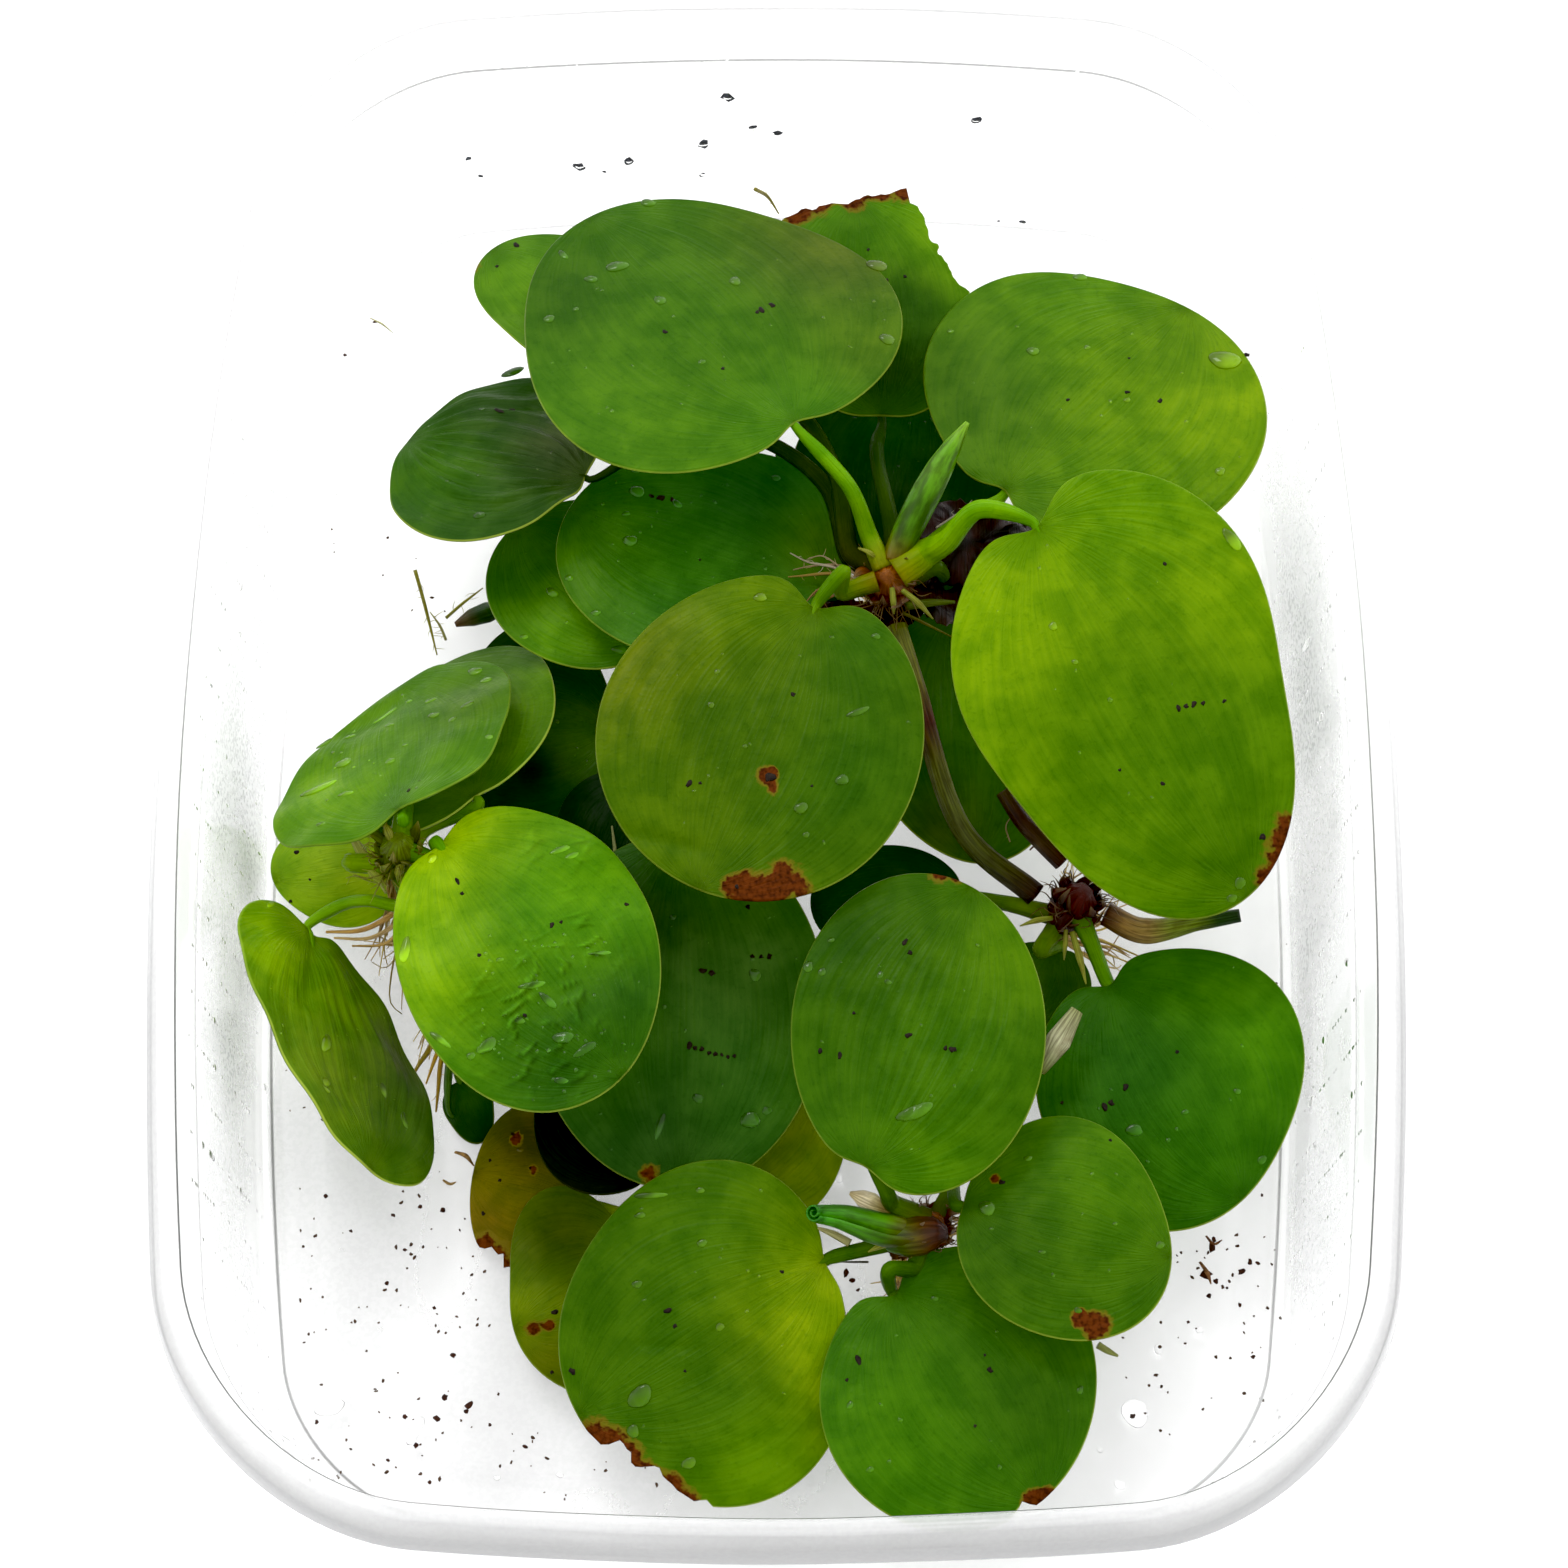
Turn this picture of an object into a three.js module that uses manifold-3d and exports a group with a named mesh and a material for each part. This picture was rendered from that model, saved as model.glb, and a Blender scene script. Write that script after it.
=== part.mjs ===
// Bowl of Amazon frogbit: rosettes of round floating leaves, piled without water in a clear plastic tub.
// Millimetres, +Z up. The origin is the middle of the tub's footprint on the table.
// +Y points to the back of the tub.
import * as THREE from "three";
import { mergeVertices } from "three/addons/utils/BufferGeometryUtils.js";
import Module from "manifold-3d";

const wasm = await Module();
wasm.setup();

// Tub: the mouth's inner top edge is a rounded rectangle whose sides bow outwards
const MOUTH_HALF_WIDTH = 60;
const MOUTH_HALF_LENGTH = 82.8;
const SIDE_BOW = 6.2;
const END_BOW = 3.7;
const CORNER_STEPS = 5;
const SIDE_STEPS = 4;

// Tub section, walked from the middle of the underside, up the outside, over the rim and down the inside
// to the floor. Each station is [distance in from the mouth edge, height, corner radius]. A negative distance
// is outside the mouth edge.
const TUB_SECTION = [
  [22.5, 0.7, 9],
  [9.5, 0.7, 12],
  [8, 0, 13],
  [5, 0, 14.2],
  [3.6, 0.6, 15],
  [2.5, 3.0, 15.8],
  [0.1, 29.3, 19.7],
  [-0.3, 30.0, 20.1],
  [-0.8, 37.6, 20.6],
  [-1.3, 38.4, 21.1],
  [-2.1, 37.6, 21.9],
  [-3.0, 34.9, 22.8],
  [-3.7, 34.9, 23.5],
  [-2.9, 38.2, 22.7],
  [-1.6, 39.9, 21.4],
  [-0.5, 39.9, 20.3],
  [0, 39.3, 19.8],
  [0.5, 30.2, 19.3],
  [0.9, 29.6, 18.9],
  [3.3, 3.4, 15],
  [4, 1.8, 14.6],
  [5, 1.3, 14.2],
  [8, 1.3, 13],
  [9.5, 1.9, 12],
  [22.5, 1.9, 9],
  [24, 1.4, 8],
];

// Leaves: a blade is a lens-shaped sheet, thin at its edge, that droops a little towards its edge
const BLADE_THICK = 0.9;
const BLADE_EDGE = 0.35;
const BLADE_DROOP = 0.9;
const NOTCH_ANGLE = 0.17;
const NOTCH_FLANK = 0.42;
const INNER_RING = 0.55;
const SMALL_BLADE = 9.3;
const STALK_RADIUS = 1.0;
const STALK_INSIDE = 2.6;
const STALK_SIDES = 5;
const STALK_STEPS = 4;
const GAP = 0.35;

// Crowns: the short stem of each rosette. at is its middle; lean is [degrees, direction it leans to].
const CROWN_RADIUS = 2.6;
const CROWN_HALF_HEIGHT = 3.6;
const CROWNS = {
  back: { at: [12.3, 21.1, 21.5], lean: [18, 250], size: 1 },
  left: { at: [-40, -10.2, 20.5], lean: [12, 60], size: 0.9 },
  front: { at: [15.6, -48.2, 11], lean: [20, 0], size: 0.85 },
  right: { at: [31.8, -13.6, 13.4], lean: [20, 30], size: 1 },
  middle: { at: [-12, 11, 8.5], lean: [0, 0], size: 0.9 },
  under: { at: [-9.5, -47.2, 5.4], lean: [0, 0], size: 0.75 },
};

// Leaves. Directions are degrees anticlockwise from +X, seen from above.
// at: middle of the blade. slope: [degrees, direction the blade falls towards].
// turn: direction of the tip as seen from the stalk. half: [half length, half width].
// skew: turn of the length away from the tip. notch: depth of the notch at the stalk.
// egg: [share, direction] of the three-lobed term that makes the outline egg or heart shaped.
// cuts: torn straight edges, as [direction from the tip, distance from the middle].
// grip: [height above the crown's middle, direction] where the stalk grows out of the crown.
// via: points that a stalk passes on its way.
const LEAVES = [
  // back rosette
  { name: "leaf_back_left", crown: "back", at: [-8.2, 48.2, 30.5], slope: [14, 80], turn: 127,
    half: [21, 19.7], skew: 79, egg: [0.07, 1], notch: 1.4, grip: [2.2, 112], via: [[7.9, 28.7, 29.2]] },
  { name: "leaf_back_right", crown: "back", at: [34.7, 41.2, 26.2], slope: [10, 117], turn: 49,
    half: [20.4, 17], skew: 85, egg: [0.03, -35], notch: 1.8, grip: [-0.6, 42], via: [[19.9, 27.1, 24]] },
  { name: "leaf_right_large", crown: "back", at: [36.8, 5.3, 30.6], slope: [12, 245], turn: -62,
    half: [24.7, 16.8], skew: -11, egg: [0.06, -1], notch: 3.1, grip: [2.2, 14], via: [[21.6, 24.4, 32.5]] },
  { name: "leaf_middle", crown: "back", at: [-1.5, 1, 27], slope: [4, 304], turn: -111,
    half: [18.4, 17.2], skew: -1, egg: [0.01, 48], notch: 2.8, grip: [2.2, 218], via: [[7.1, 19.2, 28]] },
  { name: "leaf_back_torn", crown: "back", at: [10.2, 56.9, 21.8], slope: [6, 270], turn: 96,
    half: [15.2, 12.4], skew: 1, egg: [0.03, -23], notch: 0.5, cuts: [[8, 12.2], [-69, 10.3]],
    grip: [-0.6, 86], via: [[11, 36, 22.6]] },
  { name: "leaf_back_shaded", crown: "back", at: [14.2, 37.2, 16], slope: [4, 39], turn: 80,
    half: [13.2, 12.2], skew: -12, egg: [0.03, -35], notch: 0.6, grip: [-3, 60], via: [] },
  { name: "leaf_teal", crown: "back", at: [-8.3, 26.3, 20.1], slope: [6, 108], turn: 158,
    half: [16.3, 13.4], skew: 29, egg: [0.03, -11], notch: 0.6, grip: [-1.8, 186], via: [] },
  { name: "leaf_under_large", crown: "back", at: [20.6, 6.8, 13.4], slope: [3, 315], turn: -86,
    half: [15.4, 10.4], skew: 3, egg: [0.04, 45], notch: 0.6, grip: [-2.4, 20], via: [] },
  { name: "leaf_back_brown_tip", crown: "back", at: [-25.1, 56.6, 23.3], slope: [7, 124], turn: 138,
    half: [9.9, 7.7], skew: -4, egg: [0.06, 24], notch: 0.6,
    grip: [1, 142], via: [[-8, 45, 25.5], [1.5, 40.5, 26.2], [6.4, 32, 26]] },
  { name: "leaf_ridged", crown: "back", at: [-31.2, 37.4, 20.8], slope: [22, 103], turn: 160,
    half: [13.9, 11.1], skew: 84, egg: [0.02, 53], notch: 0.5,
    grip: [-1.4, 146], via: [[-13, 37, 23.6], [-3, 38, 23.4], [5.4, 32, 23]] },
  // left rosette
  { name: "leaf_left_wet", crown: "left", at: [-40.8, 1.8, 21.1], slope: [40, 126], turn: 104,
    half: [15.8, 11.9], skew: -47, egg: [0.06, -21], notch: 0.6, grip: [1.8, 85], via: [] },
  { name: "leaf_left_behind", crown: "left", at: [-35.5, 5.6, 16], slope: [33, 126], turn: 112,
    half: [15.4, 11.2], skew: -44, egg: [0.06, -14], notch: 0.6, grip: [-2.2, 60], via: [] },
  { name: "leaf_left_bright", crown: "left", at: [-25.7, -22.5, 25], slope: [5, 53], turn: -52,
    half: [17.4, 13.5], skew: -20, egg: [0.01, -42], notch: 1.2, grip: [1, 345], via: [] },
  { name: "leaf_left_steep", crown: "left", at: [-45.2, -29.2, 15.7], slope: [54, 20], turn: -76,
    half: [17.3, 10.2], skew: 26, egg: [0.03, -50], notch: 1.6,
    grip: [-1.4, 225], via: [[-46.8, -13.4, 14.2]] },
  { name: "leaf_left_pale", crown: "left", at: [-48.6, -5.7, 4.2], slope: [1, 0], turn: -170,
    half: [7.5, 6.4], skew: -25, egg: [0.03, -20], notch: 0.5, grip: [-2.4, 180], via: [] },
  { name: "leaf_left_young", crown: "left", at: [-33.2, -33, 4], slope: [1, 270], turn: -70,
    half: [3.8, 2.7], skew: 0, egg: [0.05, 0], notch: 0.4, grip: [-2.6, 290], via: [[-35.6, -25, 4.6]] },
  // front rosette
  { name: "leaf_front_ribbed", crown: "front", at: [14.7, -29.9, 22], slope: [2, 270], turn: 69,
    half: [17.3, 13.2], skew: 18, egg: [0, 0], notch: 1.2, grip: [2, 140], via: [[11.2, -45.6, 19.4]] },
  { name: "leaf_front_small", crown: "front", at: [29.9, -49.9, 17.5], slope: [4, 124], turn: -15,
    half: [11.7, 10.5], skew: -60, egg: [0.04, -23], notch: 0.8, grip: [2, 62], via: [] },
  { name: "leaf_front_right", crown: "front", at: [18.7, -65.1, 13.5], slope: [2, 90], turn: -56,
    half: [15.2, 13.8], skew: -65, egg: [0.01, -2], notch: 2.3,
    grip: [0.6, 250], via: [[11.6, -53.6, 14.8]] },
  { name: "leaf_front_left", crown: "front", at: [-7, -59.6, 12], slope: [8, 270], turn: -148,
    half: [17.7, 14.9], skew: 62, egg: [0.04, -21], notch: 0.9, cuts: [[28, 15.3]],
    grip: [-0.6, 205], via: [] },
  // right rosette
  { name: "leaf_right_front", crown: "right", at: [41.4, -33.1, 14], slope: [4, 214], turn: -61,
    half: [15.6, 13.8], skew: -53, egg: [0.04, -25], notch: 1.9, grip: [0.4, 290], via: [] },
  { name: "leaf_right_dark", crown: "right", at: [27.4, -21.4, 8], slope: [2, 0], turn: -123,
    half: [7, 6], skew: -40, egg: [0.04, 46], notch: 0.5, grip: [-2.6, 235], via: [] },
  { name: "leaf_centre_dark", crown: "right", at: [12.1, -11.2, 9.5], slope: [3, 180], turn: 184,
    half: [8.5, 6.6], skew: -4, egg: [0, 0], notch: 0.5, grip: [-2.4, 172], via: [] },
  // middle rosette, under the others
  { name: "leaf_crescent", crown: "middle", at: [-21.1, 23.8, 16.4], slope: [4, 124], turn: 135,
    half: [11.5, 10.4], skew: 17, egg: [0.01, 45], notch: 0.6, grip: [0, 125], via: [] },
  { name: "leaf_deep_shade", crown: "middle", at: [-27.3, 9.6, 7.4], slope: [4, 180], turn: 180,
    half: [13.5, 9.1], skew: -94, egg: [0.04, 46], notch: 0.6, grip: [0, 185], via: [] },
  { name: "leaf_dark_large", crown: "middle", at: [-10.5, -24.3, 12.1], slope: [8, 270], turn: -90,
    half: [19.4, 15.8], skew: 0, egg: [0.01, 10], notch: 1, grip: [2.2, 268], via: [] },
  { name: "leaf_dark_gap", crown: "middle", at: [-16.5, -3.6, 8.4], slope: [3, 315], turn: -110,
    half: [8.7, 7.2], skew: 54, egg: [0.02, 58], notch: 0.6, grip: [-1, 240], via: [] },
  // lowest leaves, under the front ones
  { name: "leaf_brown", crown: "under", at: [-26.3, -42.1, 4.2], slope: [2, 270], turn: 165,
    half: [9.9, 6.5], skew: 100, egg: [0.01, -59], notch: 0.6, cuts: [[68, 8.4]], grip: [-1, 165], via: [] },
  { name: "leaf_olive_left", crown: "under", at: [-20.7, -53.8, 5.8], slope: [3, 0], turn: -150,
    half: [11.5, 7.4], skew: 77, egg: [0.06, 13], notch: 0.6, grip: [0.4, 212], via: [] },
  { name: "leaf_black_green", crown: "under", at: [-17.2, -34.2, 8], slope: [3, 127], turn: 120,
    half: [9.6, 8.8], skew: -60, egg: [0.03, 0], notch: 0.6, grip: [1.6, 120], via: [] },
  { name: "leaf_olive_right", crown: "under", at: [-1.4, -37, 6], slope: [2, 0], turn: 50,
    half: [9.7, 9], skew: -5, egg: [0.04, 0], notch: 0.5, grip: [0, 50], via: [] },
];

// Round shapes with a thick and a thin end: name, radii from root to tip, and the points of its middle line
const SHOOT_SIDES = 6;
const SHOOTS = [
  { name: "bud_sheath", color: 0x6c9a1f, radii: [1.6, 2.1, 1.8, 0.4],
    path: [[13.9, 24.6, 25.3], [15.6, 27.4, 27.4], [18, 31.4, 29.5], [20.4, 35.4, 31]] },
  { name: "rolled_leaf", color: 0x4f8a1c, radii: [1.9, 2.5, 2.0, 1.4],
    path: [[12.6, -48.7, 14.6], [9.6, -48.2, 15], [6.4, -47.6, 15.1], [3.8, -47.3, 15]] },
  { name: "sheath_front", color: 0xc9b98a, radii: [0.7, 0.8, 0.3],
    path: [[9.8, -44.9, 14.6], [8.8, -44.1, 15], [7.4, -43.6, 15.4]] },
  { name: "sheath_left", color: 0xb5b65a, radii: [0.9, 1.2, 0.3],
    path: [[-43.6, -9.4, 20.6], [-45, -10.2, 19], [-46.2, -11.6, 17.2]] },
  { name: "sheath_right", color: 0x9fb05a, radii: [0.4, 1.0, 0.5],
    path: [[27.4, -33.3, 17.5], [29.3, -30.2, 18.2], [31.4, -26.9, 18.6]] },
  { name: "pale_bract", color: 0xb9c25a, radii: [1.5, 1.6, 1.0, 0.8],
    path: [[35.2, -14.6, 14.2], [39, -16.3, 13.6], [45.3, -15.6, 14.2], [49.5, -15.1, 15]] },
  { name: "runner_back_right", color: 0x6a6a22, radii: [1.3, 1.1, 1.1, 1.3],
    path: [[13, 17, 18.4], [15.2, 9.4, 18.4], [20.2, -6.6, 17.2], [27.8, -12.4, 14]] },
  { name: "old_stalk_right", color: 0x5b5a20, radii: [0.8, 0.9, 1.0, 1.0],
    path: [[24.2, -2.6, 19.4], [26.2, -5.6, 18.6], [28.4, -7.8, 17.8], [30.6, -9.8, 16.9]] },
  { name: "small_bud", color: 0x36591c, radii: [0.7, 1.2, 1.0, 0.3],
    path: [[-31.2, 26.2, 3.6], [-33, 25.7, 3.5], [-35, 25, 3.4], [-36.8, 24.3, 3.2]] },
];

// Root bundles: a few strands from the crown's underside to the tub's floor. tips are the strands' ends.
const ROOT_RADIUS = 0.7;
const ROOT_SIDES = 4;
const ROOT_STEPS = 3;
const ROOT_BUNDLES = [
  { name: "roots_back", crown: "back", tips: [[5.5, 25.5, 3], [9, 30, 3], [13, 26, 3]] },
  { name: "roots_left", crown: "left", tips: [[-43.5, -15.5, 2.8], [-39.5, -20.5, 2.8], [-37.2, -26, 2.8]] },
  { name: "roots_front", crown: "front", tips: [[12, -54, 2.8], [20, -56, 2.8], [21, -45, 2.8]] },
  { name: "roots_right", crown: "right", tips: [[38.5, -16, 3], [37.5, -10, 3], [33, -6, 3]] },
  { name: "roots_middle", crown: "middle", tips: [[-16, 15, 2.8], [-7, 14, 2.8], [-10, 6, 2.8]] },
];

const COLORS = {
  tub: 0xe9ecef,
  crown: 0x8a5a2a,
  root: 0xb7a45e,
  back: 0x4f8a12,
  left: 0x4a8716,
  front: 0x3f7a12,
  right: 0x3b7512,
  middle: 0x1f4d14,
  under: 0x566016,
};

const rad = THREE.MathUtils.degToRad;

// A named mesh with a matt or glossy material.
function piece(name, geometry, color, roughness, opacity = 1) {
  const material = new THREE.MeshStandardMaterial({ color, roughness, metalness: 0 });
  material.transparent = opacity < 1;
  material.opacity = opacity;
  const mesh = new THREE.Mesh(geometry, material);
  mesh.name = name;
  return mesh;
}

// Turns a closed geometry into a solid.
function solid(geometry) {
  const bare = new THREE.BufferGeometry().setAttribute("position", geometry.getAttribute("position"));
  if (geometry.index) bare.setIndex(geometry.index);
  const merged = mergeVertices(bare, 1e-4);
  return new wasm.Manifold(
    new wasm.Mesh({
      numProp: 3,
      vertProperties: new Float32Array(merged.attributes.position.array),
      triVerts: new Uint32Array(merged.index.array),
    }),
  );
}

// Turns a solid back into a geometry.
function geometryOf(shape) {
  const mesh = shape.getMesh();
  return new THREE.BufferGeometry()
    .setAttribute("position", new THREE.BufferAttribute(new Float32Array(mesh.vertProperties), 3))
    .setIndex(new THREE.BufferAttribute(new Uint32Array(mesh.triVerts), 1));
}

// A geometry from rings of points: neighbouring rings are joined, and the end rings close on their middles.
function loft(rings) {
  const count = rings[0].length;
  const points = rings.flat();
  const faces = [];
  for (let i = 0; i + 1 < rings.length; i++)
    for (let j = 0; j < count; j++) {
      const a = i * count + j;
      const b = i * count + ((j + 1) % count);
      faces.push(a, b, b + count, a, b + count, a + count);
    }
  for (const [ring, first] of [[rings[0], 0], [rings.at(-1), points.length - count]]) {
    const middle = ring.reduce((sum, p) => sum.add(p), new THREE.Vector3()).divideScalar(count);
    const hub = points.push(middle) - 1;
    for (let j = 0; j < count; j++) {
      const a = first + j;
      const b = first + ((j + 1) % count);
      if (first === 0) faces.push(a, hub, b);
      else faces.push(a, b, hub);
    }
  }
  const flat = new Float32Array(points.flatMap((p) => [p.x, p.y, p.z]));
  return new THREE.BufferGeometry()
    .setAttribute("position", new THREE.BufferAttribute(flat, 3))
    .setIndex(faces);
}

// One level outline of the tub: a rounded rectangle whose four sides bow outwards.
function tubOutline(inset, z, corner) {
  const a = MOUTH_HALF_WIDTH - SIDE_BOW - inset;
  const b = MOUTH_HALF_LENGTH - END_BOW - inset;
  const [u, v] = [a - corner, b - corner];
  const centres = [[u, v], [-u, v], [-u, -v], [u, -v]];
  const straight = [];
  centres.forEach(([x, y], quarter) => {
    for (let i = 0; i <= CORNER_STEPS; i++) {
      const turn = ((quarter + i / CORNER_STEPS) * Math.PI) / 2;
      straight.push([x + corner * Math.cos(turn), y + corner * Math.sin(turn)]);
    }
    const [x1, y1] = straight.at(-1);
    const [nx, ny] = centres[(quarter + 1) % 4];
    const next = ((quarter + 1) * Math.PI) / 2;
    const [x2, y2] = [nx + corner * Math.cos(next), ny + corner * Math.sin(next)];
    for (let i = 1; i < SIDE_STEPS; i++) {
      const k = i / SIDE_STEPS;
      straight.push([x1 + (x2 - x1) * k, y1 + (y2 - y1) * k]);
    }
  });
  return straight.map(
    ([x, y]) =>
      new THREE.Vector3(
        x * (1 + (SIDE_BOW / a) * (1 - (y / b) ** 2)),
        y * (1 + (END_BOW / b) * (1 - (x / a) ** 2)),
        z,
      ),
  );
}

// The clear tub, one closed skin.
function makeTub() {
  const rings = TUB_SECTION.map(([inset, z, corner]) => tubOutline(inset, z, corner));
  return piece("tub", loft(rings), COLORS.tub, 0.2, 0.4);
}

// Distance from the blade's middle to its edge, at an angle from the tip.
function bladeRadius(leaf, angle) {
  const [length, width] = leaf.half;
  const along = angle - rad(leaf.skew);
  const oval = (length * width) / Math.hypot(width * Math.cos(along), length * Math.sin(along));
  const egg = 1 + leaf.egg[0] * Math.cos(3 * (angle - rad(leaf.egg[1])));
  const fromNotch = Math.PI - Math.abs(angle);
  let radius = oval * egg - leaf.notch * Math.exp(-((fromNotch / NOTCH_ANGLE) ** 2));
  for (const [direction, reach] of leaf.cuts ?? []) {
    const facing = Math.cos(angle - rad(direction));
    if (facing > 0) radius = Math.min(radius, reach / facing);
  }
  return radius;
}

// Angles at which a blade's edge is sampled: close together at the notch, even elsewhere.
function bladeAngles(count) {
  const angles = [-Math.PI, NOTCH_ANGLE - Math.PI];
  const first = NOTCH_FLANK - Math.PI;
  for (let i = 0; i < count; i++) angles.push(first - (2 * first * i) / (count - 1));
  angles.push(Math.PI - NOTCH_ANGLE);
  return angles;
}

// The blade as a lens-shaped sheet in its own frame: tip towards +X, middle at the origin.
function bladeGeometry(leaf, count, shares) {
  const angles = bladeAngles(count);
  const size = (leaf.half[0] + leaf.half[1]) / 2;
  const ring = (share, under) =>
    angles.map((angle) => {
      const r = bladeRadius(leaf, angle) * share;
      const thick = BLADE_THICK + (BLADE_EDGE - BLADE_THICK) * share;
      const z = -BLADE_DROOP * (r / size) ** 2 - (under ? thick : 0);
      return new THREE.Vector3(r * Math.cos(angle), r * Math.sin(angle), z);
    });
  const under = shares.map((share) => ring(share, true));
  const over = shares.map((share) => ring(share, false)).reverse();
  return loft([...under, ...over]);
}

// A round tube along a smooth line through points.
function tube(points, radius, sides, steps) {
  const section = new THREE.Shape();
  for (let i = 0; i < sides; i++) {
    const turn = (2 * Math.PI * i) / sides;
    if (i === 0) section.moveTo(radius, 0);
    else section.lineTo(radius * Math.cos(turn), radius * Math.sin(turn));
  }
  section.closePath();
  const extrudePath = new THREE.CatmullRomCurve3(points);
  return new THREE.ExtrudeGeometry(section, { steps, bevelEnabled: false, extrudePath });
}

// The rotation of a thing that leans by an angle towards a plan direction.
function leaning([degrees, towards]) {
  const axis = new THREE.Vector3(-Math.sin(rad(towards)), Math.cos(rad(towards)), 0);
  return new THREE.Quaternion().setFromAxisAngle(axis, rad(degrees));
}

// The place where a stalk or shoot meets a crown: on its side, a gap away, and a point a little further out.
function gripPoints(crownName, [height, turn], reach) {
  const crown = CROWNS[crownName];
  const out = new THREE.Vector3(Math.cos(rad(turn)), Math.sin(rad(turn)), 0);
  const radius = CROWN_RADIUS * crown.size + GAP;
  const tilt = leaning(crown.lean);
  return [radius, radius + reach].map((r) =>
    new THREE.Vector3(0, 0, height * crown.size)
      .addScaledVector(out, r)
      .applyQuaternion(tilt)
      .add(new THREE.Vector3(...crown.at)),
  );
}

// One leaf: blade and stalk grown together.
function makeLeaf(leaf) {
  const size = (leaf.half[0] + leaf.half[1]) / 2;
  const plain = HIDDEN.has(leaf.crown) || size < SMALL_BLADE;
  const samples = Math.round((plain ? 6 : 8) + size / 2.2);
  const holder = new THREE.Object3D();
  holder.position.set(...leaf.at);
  holder.quaternion.copy(leaning(leaf.slope));
  holder.rotateZ(rad(leaf.turn));
  holder.updateMatrixWorld();
  const base = bladeRadius(leaf, Math.PI);
  const droop = -BLADE_DROOP * (base / leaf.half[0]) ** 2;
  const local = (p) => holder.worldToLocal(p.clone());
  const [grip, beforeGrip] = gripPoints(leaf.crown, leaf.grip, 2.2);
  const line = [
    new THREE.Vector3(STALK_INSIDE - base, 0, droop - BLADE_THICK / 2),
    new THREE.Vector3(-base - 1.2, 0, droop - BLADE_THICK),
    ...leaf.via.map((p) => local(new THREE.Vector3(...p))),
    local(beforeGrip),
    local(grip),
  ];
  const stalk = tube(line, STALK_RADIUS, STALK_SIDES, STALK_STEPS + leaf.via.length);
  const shape = solid(bladeGeometry(leaf, samples, plain ? [1] : [INNER_RING, 1])).add(solid(stalk));
  const mesh = piece(leaf.name, geometryOf(shape), COLORS[leaf.crown], 0.35);
  mesh.position.copy(holder.position);
  mesh.quaternion.copy(holder.quaternion);
  return mesh;
}

// The short stem of a rosette: a turned, waisted stub.
function makeCrown(name) {
  const crown = CROWNS[name];
  const r = CROWN_RADIUS * crown.size;
  const h = CROWN_HALF_HEIGHT * crown.size;
  const profile = [[0, -h], [0.6 * r, -h], [r, -0.5 * h], [0.9 * r, 0], [r, 0.5 * h], [0.55 * r, h], [0, h]];
  const geometry = new THREE.LatheGeometry(profile.map(([x, y]) => new THREE.Vector2(x, y)), 7);
  geometry.rotateX(Math.PI / 2);
  const mesh = piece("crown_" + name, geometryOf(solid(geometry)), COLORS.crown, 0.6);
  mesh.quaternion.copy(leaning(crown.lean));
  mesh.position.set(...crown.at);
  return mesh;
}

// A tapering shoot or runner with a round section.
function makeShoot({ name, color, radii, path }) {
  const curve = new THREE.CatmullRomCurve3(path.map((p) => new THREE.Vector3(...p)));
  const steps = 2 * (radii.length - 1);
  const frames = curve.computeFrenetFrames(steps);
  const rings = [];
  for (let i = 0; i <= steps; i++) {
    const k = (i / steps) * (radii.length - 1);
    const low = Math.min(Math.floor(k), radii.length - 2);
    const r = THREE.MathUtils.lerp(radii[low], radii[low + 1], k - low);
    const middle = curve.getPoint(i / steps);
    const ring = [];
    for (let j = 0; j < SHOOT_SIDES; j++) {
      const turn = (2 * Math.PI * j) / SHOOT_SIDES;
      ring.push(
        middle
          .clone()
          .addScaledVector(frames.normals[i], r * Math.cos(turn))
          .addScaledVector(frames.binormals[i], r * Math.sin(turn)),
      );
    }
    rings.push(ring);
  }
  return piece(name, loft(rings), color, 0.5);
}

// A bundle of strands that spread from under a crown to the tub's floor.
function makeRoots({ name, crown: crownName, tips }) {
  const crown = CROWNS[crownName];
  const drop = CROWN_HALF_HEIGHT * crown.size + GAP;
  const tilt = leaning(crown.lean);
  const under = (depth) =>
    new THREE.Vector3(0, 0, -depth).applyQuaternion(tilt).add(new THREE.Vector3(...crown.at));
  const strands = tips.map((tip) => {
    const end = new THREE.Vector3(...tip);
    const start = under(drop);
    const elbow = new THREE.Vector3((start.x + 2 * end.x) / 3, (start.y + 2 * end.y) / 3, end.z + 1.5);
    return solid(tube([start, under(drop + 1.5), elbow, end], ROOT_RADIUS, ROOT_SIDES, ROOT_STEPS));
  });
  const shape = strands.reduce((sum, strand) => sum.add(strand));
  return piece(name, geometryOf(shape), COLORS.root, 0.7);
}

const HIDDEN = new Set(["middle", "under"]);
const bowl = new THREE.Group();
bowl.add(makeTub());
for (const leaf of LEAVES) bowl.add(makeLeaf(leaf));
for (const name of Object.keys(CROWNS)) bowl.add(makeCrown(name));
for (const shoot of SHOOTS) bowl.add(makeShoot(shoot));
for (const bundle of ROOT_BUNDLES) bowl.add(makeRoots(bundle));

export default bowl;
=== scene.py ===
import math

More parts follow.
